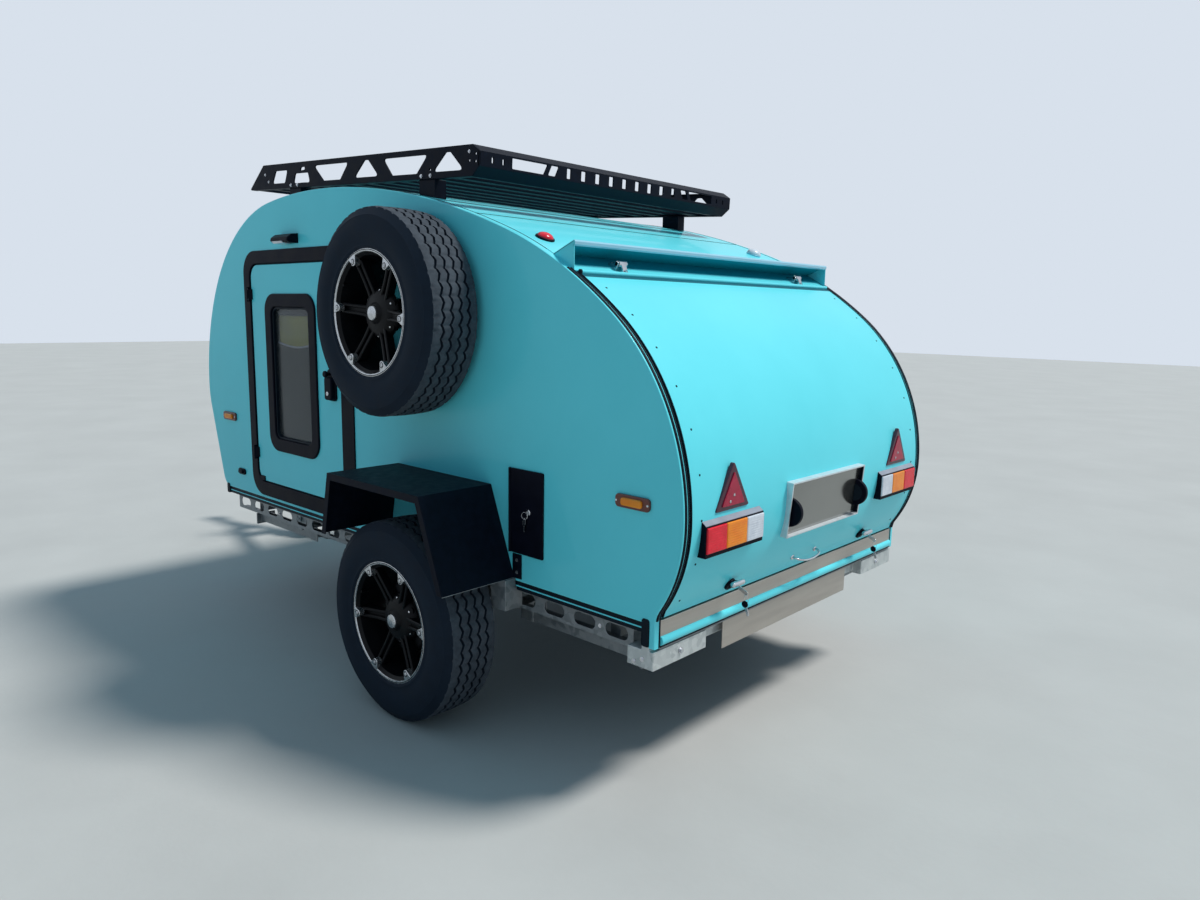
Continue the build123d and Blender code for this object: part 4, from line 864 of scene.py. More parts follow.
def buildFlap():
    bm = bmesh.new()
    out = shell["halfWidth"]
    lowZ, topZ, ear = flapPanel["lowZ"], flapPanel["topZ"], flapPanel["ear"]
    plate = roundRect(flapPanel["rearX"], flapPanel["plateX"], lowZ, topZ, 0.005, 4)
    plateIn(bm, [plate], out + 0.0004, out + flapPanel["proud"], onSide, 0.002, 0, 0.0003, 3)
    x, y, radius = flapPanel["hingeX"], flapPanel["hingeY"], flapPanel["hingeRadius"]
    low, high = lowZ + ear + 0.001, topZ - ear - 0.001
    bore = flapPanel["pin"] + 0.0003
    sleeveIn(bm, at(x, y, low), alongZ, bore, radius, 0, high - low, 16)
    boxIn(bm, flapPanel["plateX"] - 0.002, x - bore, out + 0.0006, out + 0.0050, low, high)
    lockX, lockZ = flapPanel["rearX"] + 0.062, lowZ + 0.141
    face = out + flapPanel["proud"]
    lock = ((0.0095, -0.001), (0.0095, 0.003), (0.008, 0.0045), (0.003, 0.0045), (0.003, 0.003), (0, 0.003))
    turnedIn(bm, lock, at(lockX, face, lockZ), alongY, 24, 1)
    loopIn(bm, at(lockX + 0.012, face + 0.007, lockZ - 0.011), (0.011, 0.002, 0), (0, 0, 0.011), 0.0009,
           24, 1)
    boxIn(bm, lockX - 0.001, lockX + 0.001, face + 0.003, face + 0.013, lockZ - 0.005, lockZ + 0.005, 1)
    plateIn(bm, [roundRect(lockX + 0.008, lockX + 0.022, lockZ - 0.042, lockZ - 0.018, 0.006, 4)],
            face + 0.0045, face + 0.0065, onSide, 0.0005, 1)
    boxIn(bm, lockX + 0.0125, lockX + 0.0185, face + 0.0048, face + 0.0062, lockZ - 0.064, lockZ - 0.040, 1)
    newPiece("servicePanel", bm, "flap", "blackPlastic polished", replaces="service_flap")
    bm = bmesh.new()
    for low, high in ((lowZ, lowZ + ear), (topZ - ear, topZ)):
        rodIn(bm, at(x, y, low), at(x, y, high), radius, 16)
        boxIn(bm, x - 0.002, flapPanel["frontX"], out - 0.001, y, low, high)
    rodIn(bm, at(x, y, lowZ), at(x, y, topZ), flapPanel["pin"], 10)
    newPiece("servicePanelHinge", bm, "trailer", "blackPlastic")


frames = [buildFrame(*row) for row in sides]
for row in sides:
    buildLeaf(*row)
    buildWindow(*row)
    buildHandle(*row)
buildFlap()
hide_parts("door_frames")
print("doors")


# Wheels: one tyre and one rim design, placed three times

tyre = {
    "radius": 0.340, "crown": 0.004, "treadHalf": 0.084, "grooves": (-0.050, -0.017, 0.017, 0.050),
    "grooveHalf": 0.0035, "grooveDepth": 0.008, "zigzag": 0.0045, "zigzags": 48, "steps": 480, "sipe": 0.0035,
    "side": ((0.196, 0.088), (0.206, 0.099), (0.215, 0.1025), (0.222, 0.1005), (0.234, 0.1035),
             (0.252, 0.1070), (0.268, 0.1075), (0.290, 0.1060), (0.306, 0.1010), (0.310, 0.1012),
             (0.318, 0.0955), (0.327, 0.0895), (0.333, 0.0855)),      # radius, distance from the middle
}
rim = {
    "half": 0.098, "flange": 0.208, "ringInner": 0.196, "barrel": 0.186, "pads": 6, "padInner": 0.167,
    "padOuterHalf": 0.017, "padInnerHalf": 0.012, "hub": 0.064, "hubY": 0.064, "ribHalf": 0.0055,
    "ribRoot": 0.048, "ribTip": 0.180, "ribGapHub": 0.010, "ribGapPad": 0.0125, "cap": 0.022, "capY": 0.083,
    "lugRing": 0.070, "lugY": 0.052,
}
# name, body, centre, side, turn, nodes
wheels = (("Left", "wheel_left", (0.895, 0.905, 0.340), 1, -4, "tyre_left", "rim_left"),
          ("Right", "wheel_right", (0.895, -0.905, 0.340), -1, 11, "tyre_right", "rim_right"),
          ("Spare", "trailer", (1.000, 0.884, 1.356), 1, 5, "spare_tyre", "spare_rim"))


def wheelPlace(centre, side, turn):
    place = Matrix.Translation(at(*centre))
    if side < 0:
        place = place @ Matrix.Rotation(math.pi, 4, "Z")
    return place @ Matrix.Rotation(math.radians(-turn), 4, "Y")


def treadRadius(y):
    return tyre["radius"] - tyre["crown"] * (y / tyre["treadHalf"]) ** 2


def tyreColumns():              # middle, radius, zigzag share, finish of the face that follows
    edge = -tyre["treadHalf"]
    columns = [(-y, radius, 0, 0) for radius, y in tyre["side"]]
    columns.append((edge, treadRadius(edge), 0, 1))
    for middle in tyre["grooves"]:
        before, after = middle - tyre["grooveHalf"], middle + tyre["grooveHalf"]
        deep = treadRadius(middle) - tyre["grooveDepth"]
        columns += [((edge + before) / 2, treadRadius((edge + before) / 2), 0.4, 1),
                    (before - 0.001, treadRadius(before), 1, 0), (before + 0.001, deep, 1, 0),
                    (after - 0.001, deep, 1, 0), (after + 0.001, treadRadius(after), 1, 1)]
        edge = after
    columns.append(((edge + tyre["treadHalf"]) / 2, treadRadius(tyre["treadHalf"] / 2), 0.4, 1))
    columns.append((tyre["treadHalf"], treadRadius(tyre["treadHalf"]), 0, 0))
    return columns + [(y, radius, 0, 0) for radius, y in reversed(tyre["side"])]


def buildTyre(name, body, place, node):
    bm = bmesh.new()
    columns = tyreColumns()
    per = tyre["steps"] // tyre["zigzags"]
    rings = []
    for j in range(tyre["steps"]):
        a = 2 * math.pi * j / tyre["steps"]
        phase = (j % per) / per
        wave = 4 * abs(phase - 0.5) - 1
        ring = []
        for i, (y, radius, share, mark) in enumerate(columns):
            bar = abs(abs(y) - tyre["grooves"][-1] - tyre["grooveHalf"] - 0.001) < 0.0015
            notch = share == 1 and radius > treadRadius(0.05) - 0.002 and j % per in (0, 1)
            if notch and not bar or (bar and j % (2 * per) in (0, 1)):
                radius -= tyre["sipe"]
            if abs(y) == tyre["treadHalf"] and j % per in (4, 5):
                radius -= 0.0030
            dy = y + share * tyre["zigzag"] * wave
            ring.append(bm.verts.new(place @ Vector((radius * math.cos(a), dy, radius * math.sin(a)))))
        rings.append(ring)
    for first, second in zip(rings, rings[1:] + rings[:1]):
        for i in range(len(columns) - 1):
            bm.faces.new((first[i], first[i + 1], second[i + 1], second[i])).material_index = columns[i][3]
    beadRadius, beadY = tyre["side"][0]
    turnedIn(bm, ((beadRadius, -beadY), (0.190, -0.080), (0.190, 0.080), (beadRadius, beadY)),
             place.translation, place.to_3x3() @ alongY, 96)
    newPiece(name, bm, body, "tyreRubber tyreTread", replaces=node)


def padOutline():
    outer, inner = rim["ringInner"] + 0.003, rim["padInner"]
    wide, narrow = rim["padOuterHalf"], rim["padInnerHalf"]
    arc = arcPoints((inner + narrow, 0), (narrow, narrow), -90, -270, 8)
    tip = [(outer - 0.010, wide), (outer, wide + 0.004)]
    return [(outer, -wide - 0.004), (outer - 0.010, -wide)] + arc + tip


def ribHeight(t):               # front of the spoke, from hub to tip
    return rim["hubY"] - 0.002 + (rim["half"] - 0.016 - rim["hubY"]) * t ** 1.3


def buildSpoke(bm, turn, axis):
    def onWheel(u, v, height):
        return turn @ Vector((u, height, v))

    half, rib, long = rim["half"], rim["ribHalf"], rim["ribTip"] - rim["ribRoot"]
    plateIn(bm, [padOutline()], half - 0.020, half + 0.0008, onWheel, 0.0022, 2, 0.001, 3)
    boltAt = onWheel(rim["padInner"] + 0.014, 0, half + 0.0006)
    recess = ((0.0098, -0.001), (0.0098, 0.0003), (0.0072, 0.0004), (0.0072, -0.0012), (0, -0.0012))
    bolt = ((0.0058, -0.0012), (0.0058, 0.0022), (0.0048, 0.0030), (0.0026, 0.0030), (0.0024, 0.0012),
            (0, 0.0012))
    turnedIn(bm, recess, boltAt, axis, 24, 0)
    turnedIn(bm, bolt, boltAt, axis, 12, 2)
    for side in (-1, 1):                # two ribs of the spoke
        rings = []
        for t in (0, 0.12, 0.3, 0.5, 0.7, 0.86, 1):
            gap = rim["ribGapHub"] + (rim["ribGapPad"] - rim["ribGapHub"]) * t
            middle = side * (gap + 0.006 * (1 - t) ** 4)
            section = ((-rib, 0.030), (-rib, 0.003), (-rib + 0.003, 0), (rib - 0.003, 0), (rib, 0.003),
                       (rib, 0.030))
            rings.append([bm.verts.new(onWheel(rim["ribRoot"] + long * t, middle + dv, ribHeight(t) - drop))
                          for dv, drop in section])
        loftIn(bm, rings)
    web = [(0.050, -rim["ribGapHub"]), (0.182, -rim["ribGapPad"]), (0.182, rim["ribGapPad"]),
           (0.050, rim["ribGapHub"])]
    loftIn(bm, [[bm.verts.new(onWheel(u, v, ribHeight((u - rim["ribRoot"]) / long) - drop)) for u, v in web]
                for drop in (0.012, 0.026)])


def buildRim(name, body, place, node):
    bm = bmesh.new()
    half, flange, hub, barrel = rim["half"], rim["flange"], rim["hub"], rim["barrel"]
    inner, cap, capY = rim["ringInner"], rim["cap"], rim["capY"]
    centre, axis = place.translation, place.to_3x3() @ alongY

    def spun(degrees):
        return place @ Matrix.Rotation(-math.radians(degrees), 4, "Y")

    profile = ((flange - 0.001, half - 0.009), (flange, half - 0.003), (flange - 0.0015, half - 0.0004),
               (0.2032, half + 0.0006), (0.2026, half - 0.0012), (0.2012, half - 0.0012),
               (0.2006, half + 0.0006), (inner + 0.0010, half), (inner, half - 0.003),
               (barrel, half - 0.014), (barrel - 0.003, half - 0.050), (0.176, 0.010), (0.176, -0.060),
               (0.186, -half + 0.008), (0.1995, -half), (flange, -half + 0.001), (flange, -half + 0.009),
               (0.1915, -half + 0.016), (0.1915, 0.070), (0.1915, half - 0.016))
    turnedIn(bm, profile, centre, axis, 128, marks=[2, 2, 2, 0, 0, 0, 2, 2] + [0] * 12, closed=True)
    turnedIn(bm, ((0, 0.030), (0.084, 0.030), (0.088, 0.036), (hub + 0.016, 0.052),
                  (hub + 0.004, rim["hubY"] - 0.004), (hub - 0.004, rim["hubY"]),
                  (0.036, rim["hubY"] + 0.003), (0.030, rim["hubY"] + 0.010),
                  (0.0255, capY - 0.006), (0.0235, capY - 0.006)), centre, axis, 72)
    turnedIn(bm, ((0.0235, capY - 0.010), (0.0235, capY - 0.002), (cap, capY), (0.014, capY + 0.0018),
                  (0, capY + 0.0025)), centre, axis, 40, 2)
    well = ((0.017, -0.012), (0.017, 0.006), (0.0148, 0.008), (0.0135, 0.006), (0.0135, -0.003), (0, -0.003))
    for k in range(rim["pads"]):
        buildSpoke(bm, spun(60 * k), axis)
        seat = spun(60 * k + 30) @ Vector((rim["lugRing"], rim["lugY"] - 0.012, 0))
        turnedIn(bm, well, seat, axis, 24)
        nut = seat - axis * 0.003
        rodIn(bm, nut, nut + axis * 0.012, 0.0105, 6, 2)
        turnedIn(bm, ((0.0088, 0.012), (0.0078, 0.017), (0.004, 0.0192), (0, 0.0195)), nut, axis, 20, 2)
    valve = spun(25) @ Vector((0.180, half - 0.040, 0))
    rodIn(bm, valve, valve + axis * 0.030, 0.0045, 12, 0, 0.0038)
    if name != "rimSpare":              # brake drum with its ribs
        turnedIn(bm, ((0, -0.036), (0.060, -0.036), (0.108, -0.034), (0.118, -0.028), (0.118, 0.024),
                      (0.112, 0.030), (0.060, 0.0337), (0, 0.0337)), centre, axis, 64, 3)
        for k in range(16):
            spin = spun(22.5 * k)
            rodIn(bm, spin @ Vector((0.1175, -0.024, 0)), spin @ Vector((0.1175, 0.020, 0)), 0.0022, 8, 3)
    newPiece(name, bm, body, "wheelBlack tyreRubber machinedRing castBlack", replaces=node)


for name, body, centre, side, turn, tyreNode, rimNode in wheels:
    place = wheelPlace(centre, side, turn)
    buildTyre("tyre" + name, body, place, tyreNode)
    buildRim("rim" + name, body, place, rimNode)
print("wheels")


# Fenders, chassis, drawbar, jockey wheel and steadies keep their forms and get finishes and small parts

fender = {"rearX": 0.524, "rearLowZ": 0.530, "outY": 1.057}
# the rear beam takes the lighter zinc as painted sunlight, the other zinc parts the darker zinc as painted
# shade
chassisLooks = (
    ("shadedZinc", 0.0012, "steady_front_left steady_front_right steady_rear_left steady_rear_right"),
    ("shadedZinc", 0.0015, "chassis_rails frame_brackets jockey_fork"),
    ("shadedZinc", 0.004, "axle_beam trailing_arms"), ("shadedZinc", 0.002, "cross_members"),
    ("shadedZinc", 0.003, "drawbar"), ("shadedZinc", 0.001, "jockey_tube"),
    ("sunlitZinc", 0.003, "rear_beam"), ("polished", 0.0008, "jockey_leg"), ("castBlack", 0.002, "coupler"),
    ("blackPlastic", 0.001, "floor"), ("plywood", 0.001, "bulkhead galley_counter"),
    ("blackPowder", 0.001, "spare_carrier"), ("blackPowder", 0.003, "rack_slats"),
    ("blackPowder", 0.002, "rack_feet"), ("blackPowder", 0.0016, "fenders"))      # look, edge, nodes


def buildFenderTrim():
    bm = bmesh.new()
    for side in (-1, 1):
        boxIn(bm, fender["rearX"] + 0.0004, fender["rearX"] + 0.0030, side * 0.774,
              side * (fender["outY"] - 0.002), fender["rearLowZ"] - 0.0022, fender["rearLowZ"] + 0.0004)
        for z in (0.550, 0.590):
            boltIn(bm, at(0.509, side * 0.7730, z), alongY * side, 0.006)
    newPiece("fenderEdges", bm, "trailer", "shadedZinc")


buildFenderTrim()
for look, edge, nodes in chassisLooks:
    for node in nodes.split():
        dressNode(node, look, edge)
dressNode("jockey_wheel", "greyRubber", 0.006, 3)
print("chassis")


# Stainless sill plate with its painted lip, valance, latches and pull

rear = {"plateX": -0.052, "plateLow": 0.480, "plateTop": 0.529, "lipZ": 0.469, "lipRadius": 0.0125,
        "valanceHalf": 0.405, "valanceLow": 0.345, "valanceTop": 0.440, "valanceX": -0.033, "beamX": -0.012}


def buildSill():
    half, x, tall = innerY - 0.0005, rear["plateX"], rear["lipRadius"] * 1.15
    low, high = rear["lipZ"] - tall, rear["lipZ"] + tall
    bm = bmesh.new()
    boxIn(bm, x, x + 0.014, -half, half, rear["plateLow"], rear["plateTop"])
    newPiece("sillPlate", bm, "trailer", "stainless", 0.0015, replaces="rear_sill")
    bm = bmesh.new()
    section = arcPoints((x + 0.004, rear["lipZ"]), (rear["lipRadius"] * 1.1, tall), 90, 270, 12)
    barIn(bm, section + [(x + 0.014, low), (x + 0.014, high)], half)
    newPiece("sillLip", bm, "trailer", "turquoisePaint", 0.001)
    bm = bmesh.new()
    boxIn(bm, x - 0.002, x + 0.016, -half, half, low - 0.0045, low + 0.0006)
    newPiece("sillRubber", bm, "trailer", "rubberSeal", 0.001)
    bm = bmesh.new()
    boxIn(bm, x + 0.002, -0.030, -half, half, 0.4435, low - 0.004)
    wide, top = rear["valanceHalf"], rear["valanceTop"]
    for side in (-1, 1):
        boxIn(bm, -0.040, rear["beamX"], side * (wide - 0.040), side * wide, top, 0.446)
    newPiece("sillHanger", bm, "trailer", "shadedZinc", 0.001)
    bm = bmesh.new()
    x0, x1 = rear["valanceX"], rear["beamX"]
    barIn(bm, [(x0, rear["valanceLow"]), (x0, top - 0.004), (x0 + 0.001, top - 0.001), (x0 + 0.004, top),
               (x1, top), (x1, top - 0.003), (x0 + 0.004, top - 0.003), (x0 + 0.003, top - 0.005),
               (x0 + 0.003, rear["valanceLow"])], wide)
    newPiece("rearValance", bm, "trailer", "stainless", 0.0006)


latch = {"y": 0.433, "z": 0.578, "reach": 0.026, "half": 0.030, "bar": 0.009, "base": 0.021, "baseZ": 0.570}
pull = {"z": 0.572, "half": 0.075, "reach": 0.038, "wire": 0.0036}
hangingKey = {"bowStart": (-0.1016, 0.567), "bowEnd": (-0.134, 0.551), "bowHalf": 0.006,
              "head": (-0.1265, 0.519),
              "headRadius": 0.0105, "tip": (-0.139, 0.485)}


def flatKey(bm, start, end, half, y):       # flat bar from start to end in the side view
    side = Vector((start[1] - end[1], end[0] - start[0])).normalized() * half
    corners = [(p[0] + sign * side.x, p[1] + sign * side.y)
               for p, sign in zip((start, end, end, start), (-1, -1, 1, 1))]
    plateIn(bm, [roundCorners(corners, half * 0.8)], y - 0.0011, y + 0.0011, onSide, 0.0004)


def buildLatches():
    bm = bmesh.new()
    keys = bmesh.new()
    gripX = skinX(latch["z"]) - latch["reach"]
    x, z, out = skinAt(rising(latch["baseZ"]))
    half, bar, base, head = latch["half"], latch["bar"], latch["base"], hangingKey["headRadius"]
    boss = ((base, -0.003), (base, 0.005), (0.0185, 0.0085), (0.0125, 0.0095), (0.0105, 0.012), (0, 0.012))
    grip = ((0, -half), (bar * 0.6, -half + 0.0008), (bar * 0.92, -half + 0.003), (bar, -half + 0.007),
            (bar, half - 0.007), (bar * 0.92, half - 0.003), (bar * 0.6, half - 0.0008), (0, half))
    coin = ((0, -0.0022), (head * 0.9, -0.0022), (head, -0.0012), (head, 0.0012), (head * 0.9, 0.0022),
            (0, 0.0022))
    endX, endZ = hangingKey["bowEnd"]
    headX, headZ = hangingKey["head"]
    for side in (-1, 1):
        y = side * latch["y"]
        turnedIn(bm, boss, at(x, y, z), out, 32, 1)
        rodIn(bm, at(x, y, z), at(gripX, y, latch["z"]), 0.0095, 20, 1)
        turnedIn(bm, grip, at(gripX, y, latch["z"]), alongY, 24)
        flatKey(keys, hangingKey["bowStart"], hangingKey["bowEnd"], hangingKey["bowHalf"], y)
        loopIn(keys, at(endX + 0.004, y, (endZ + headZ) / 2 + 0.0015), (0.0075, 0, 0), (0, 0.003, 0.0125),
               0.0008, 20)
        turnedIn(keys, coin, at(headX, y, headZ), alongY, 24, 1)
        flatKey(keys, (headX - 0.0035, headZ - 0.008), hangingKey["tip"], 0.0042, y)
    newPiece("hatchLatches", bm, "hatch", "polished blackPlastic", replaces="hatch_hardware")
    newPiece("latchKeys", keys, "hatch", "polished blackPlastic")
    bm = bmesh.new()
    skin, half, z = skinX(pull["z"]), pull["half"], pull["z"] + 0.010
    path = []
    for k in range(33):
        a = math.pi * k / 32
        path.append(at(skin + 0.003 - (pull["reach"] + 0.003) * math.sin(a) ** 0.35, -half * math.cos(a),
                       z - 0.014 * math.sin(a)))
    tubeIn(bm, path, pull["wire"], 14)
    for side in (-1, 1):
        turnedIn(bm, ((0.010, -0.002), (0.010, 0.002), (0.007, 0.004), (0, 0.0045)),
                 at(skinX(z), side * half, z), Vector((-1, 0, 0.05)), 20)
    newPiece("hatchPull", bm, "hatch", "polished")
    print("latches")


buildSill()
buildLatches()


# Tail lamps, triangles and the blank plate tray

tail = {"innerY": 0.398, "outerY": 0.688, "lowZ": 0.716, "foldZ": 0.804, "topZ": 0.816, "depth": 0.018,
        "lensLow": 0.728, "lensTop": 0.801, "lens": 0.005, "border": 0.003,
        "lenses": (("lens_white", "clearLens", 0, 0.31), ("lens_amber", "amberLens", 0.31, 0.67),
                   ("lens_red", "redLens", 0.67, 1))}
lampX = skinX((tail["lowZ"] + tail["topZ"]) / 2) - tail["depth"]
triangle = {"y": 0.545, "lowZ": 0.832, "height": 0.136, "half": 0.084, "thick": 0.012, "rim": 0.016,
            "screws": ((0, 0.041), (0.018, 0.024)),
            "screw": ((0.0042, 0), (0.0040, 0.0016), (0.0016, 0.0020), (0.0014, 0.0008), (0, 0.0008))}
tray = {"half": 0.243, "lowZ": 0.688, "height": 0.178, "depth": 0.016, "lean": 5, "border": 0.005,
        "sink": 0.014,
        "sheet": 0.0016, "lampRadius": 0.046, "lampLow": 0.009, "lampOutY": 0.229, "lampWide": 0.014}
trayMiddleZ = tray["lowZ"] + tray["height"] / 2
trayPlace = (Matrix.Translation(at(skinX(trayMiddleZ) - tray["depth"], 0, trayMiddleZ))
             @ Matrix.Rotation(-math.radians(tray["lean"]), 4, "Y"))


def onTray(u, v, height):
    return trayPlace @ Vector((-height, u, v))


def buildLamps():
    bm = bmesh.new()
    low, top = tail["lowZ"], tail["topZ"]
    body = [(skinX(low) + 0.004, low), (lampX, low), (lampX, tail["foldZ"]), (skinX(top) - 0.001, top),
            (skinX(top) + 0.004, top)]
    # pale strip on the top face of each lamp body: a painted sky highlight
    strip = [(lampX + 0.0015, tail["foldZ"]), (skinX(top), top - 0.002), (skinX(top), top + 0.0012),
             (lampX + 0.001, tail["foldZ"] + 0.0026)]
    for side in (-1, 1):
        y0, y1 = sorted((side * tail["innerY"], side * tail["outerY"]))
        plateIn(bm, [body], y0, y1, onSide, 0.002, 0, 0.002, 3)
        plateIn(bm, [strip], y0 + 0.002, y1 - 0.002, onSide, 0.0006, 1, 0.0006)
    newPiece("tailLampBodies", bm, "hatch", "blackPlastic paleGrey", replaces="lamp_housings")
    span = tail["outerY"] - tail["innerY"] - 2 * tail["border"]
    for node, look, start, stop in tail["lenses"]:
        bm = bmesh.new()
        for side in (-1, 1):
            y0, y1 = sorted(side * (tail["innerY"] + tail["border"] + share * span)
                            for share in (start, stop))
            z0, z1 = tail["lensLow"], tail["lensTop"]
            plateIn(bm, [roundRect(y0 + 0.0004, y1 - 0.0004, z0, z1, 0.003, 3)], -lampX - 0.001,
                    -lampX + tail["lens"], onRear, 0.003, 0, 0.0005, 3)
            for k in range(9):
                z = z0 + 0.008 + (z1 - z0 - 0.016) * k / 8
                boxIn(bm, lampX - tail["lens"] - 0.0005, lampX - tail["lens"] + 0.002, y0 + 0.005, y1 - 0.005,
                      z - 0.0014, z + 0.0014)
        newPiece("tailLens" + look[:-4].capitalize(), bm, "hatch", look, replaces=node)
    bm = bmesh.new()
    z0, z1 = triangle["lowZ"], triangle["lowZ"] + triangle["height"]
    half, edge, thick, backX = triangle["half"], triangle["rim"], triangle["thick"], skinX((z0 + z1) / 2)
    for side in (-1, 1):
        y = side * triangle["y"]
        outline = roundCorners([(y - half, z0), (y + half, z0), (y, z1)], 0.006)
        face = roundCorners([(y - half + 1.7 * edge, z0 + edge * 0.72),
                             (y + half - 1.7 * edge, z0 + edge * 0.72), (y, z1 - 1.75 * edge)], 0.004)
        plateIn(bm, [outline], -0.004 - backX, thick - 0.003 - backX, onRear, 0.002, 1, 0.001, 3)
        plateIn(bm, [face], 0.004 - backX, thick - backX, onRear, 0.0012, 0, 0.0005, 2)
        for dy, dz in triangle["screws"]:
            turnedIn(bm, triangle["screw"], at(backX - thick + 0.0004, y + dy, z0 + dz), -alongX, 14, 2)
    newPiece("redTriangles", bm, "hatch", "redReflector redRim polished", replaces="reflector_triangles")
    print("lamps")


def buildTray():
    half, rise, sheet, sink = tray["half"], tray["height"] / 2, tray["sheet"], tray["sink"]
    rect = (-half, half, -rise, rise)
    inner = shrunk(rect, tray["border"])
    outer, opening = roundRect(*rect, 0.003, 3), roundRect(*inner, 0.001, 2)
    bm = bmesh.new()
    plateIn(bm, [outer, opening], -0.0014, 0, onTray, 0.0005)
    plateIn(bm, [outer, roundRect(*shrunk(rect, sheet), 0.002, 3)], -0.034, -0.001, onTray, 0.0004)
    plateIn(bm, [roundRect(*shrunk(inner, -sheet), 0.001, 2), opening], -sink - 0.002, -0.0012, onTray,
            0.0003)
    plateIn(bm, [roundRect(*shrunk(inner, -0.0006), 0.001, 2)], -sink - 0.002, -sink, onTray, 0.0003, 1)
    # dark sheets on the inner side walls, painted as their shade and dark reflection
    for side in (-1, 1):
        y0, y1 = sorted((side * (inner[1] - 0.0026), side * (inner[1] + 0.0002)))
        plateIn(bm, [[(y0, -rise + 0.007), (y1, -rise + 0.007), (y1, rise - 0.007), (y0, rise - 0.007)]],
                -sink, -0.0022, onTray, 0.0004, 2)
    newPiece("plateTray", bm, "hatch", "brightSteel plateMirror blackPlastic", replaces="plate_tray")
    bm = bmesh.new()
    outY, wide = tray["lampOutY"], tray["lampWide"]
    for side in (-1, 1):
        for radius, low, high, mark in ((tray["lampRadius"], outY - wide, outY, 0),
                                        (0.030, outY - wide - 0.0015, outY - 0.004, 1)):
            plateIn(bm, [arcPoints((-sink, -tray["lampLow"]), (radius, radius), -90, 90, 24)], low, high,
                    lambda u, v, height, side=side: onTray(side * height, v, u), 0.0015, mark)
    newPiece("plateLamps", bm, "hatch", "blackPlastic slateBlind", replaces="plate_lamps")
    print("tray")


buildLamps()
buildTray()


# Marker lamps, roof domes, nose lamps, porch lamps

marker = {"rows": ((0.033, 0.856), (2.503, 0.862)), "half": 0.062, "height": 0.038, "depth": 0.016}
dome = {"rows": (("Left", 0.500, 0.668, 0.026, 0.019, "redLens", "blackPlastic", "red_lens"),
                 ("Right", 0.573, -0.620, 0.030, 0.025, "clearLens", "palePaint", "clear_lens")),
        "foot": 0.031}                      # name, x, y, radius, height, lens, foot, slot
porch = {"half": 0.070, "gap": 0.019, "height": 0.038, "depth": 0.050}
wallSocket = (((2.374, 2.442, 0.598, 0.626), 0.0135, -0.001, 0.007, 0.003),
              ((2.388, 2.430, 0.603, 0.621), 0.0085, 0.005, 0.014, 0.004))    # rect, radius, low, high, edge


def buildMarkers():
    out, deep = shell["halfWidth"], shell["halfWidth"] + marker["depth"]
    half, tall = marker["half"], marker["height"] / 2
    bm = bmesh.new()
    for x, z in marker["rows"]:
        for side, wall, place in sides:
            plateIn(bm, [roundRect(x - half, x + half, z - tall, z + tall, 0.012, 5)], out - 0.001,
                    out + 0.009, place, 0.003, 1)
            lens = roundRect(x - 0.038, x + 0.038, z - 0.0115, z + 0.0115, 0.008, 4)
            plateIn(bm, [lens], out + 0.004, deep, place, 0.004, 0, 0.0005, 3)
            for dx in (-0.0565, 0.0565):
                turnedIn(bm, ((0.0036, 0), (0.0032, 0.0014), (0, 0.0018)), place(x + dx, z, out + 0.0088),
                         alongY * wall, 12, 2)
            for k in range(5):
                u = x - 0.026 + 0.013 * k
                plateIn(bm, [roundRect(u - 0.0012, u + 0.0012, z - 0.007, z + 0.007, 0.0008, 2)],
                        deep - 0.001, deep + 0.0004, place, 0.0003)
    newPiece("markerLamps", bm, "trailer", "amberLens brownRim polished", replaces="marker_lamps")


def buildDomes():
    foot = dome["foot"]
    for name, domeX, domeY, radius, height, look, base, slot in dome["rows"]:
        bm = bmesh.new()
        x, z, out = skinAt(forward(domeX))
        centre = at(x, domeY, z)
        turnedIn(bm, ((foot, -0.002), (foot, 0.0045), (foot - 0.002, 0.0062), (radius - 0.001, 0.0062)),
                 centre, out, 32, 1)
        turnedIn(bm, arcPoints((0, 0.005), (radius, height - 0.005), 0, 90, 8), centre, out, 32)
        newPiece("roofDome" + name, bm, "trailer", look + " " + base)
    bm = bmesh.new()
    x, z, out = skinAt(falling(0.980))
    along = Vector((out.z, 0, -out.x))
    for side in (-1, 1):

        def onNose(u, v, height, centre=at(x, side * 0.700, z)):
            return centre + Vector((0, u, 0)) + along * v + out * height

        plateIn(bm, [roundRect(-0.012, 0.012, -0.024, 0.024, 0.006, 4)], -0.004, 0.009, onNose, 0.003)
        plateIn(bm, [roundRect(-0.008, 0.008, -0.018, 0.018, 0.005, 4)], 0.007, 0.0115, onNose, 0.002, 1)
    newPiece("noseLamps", bm, "trailer", "blackPlastic clearLens")


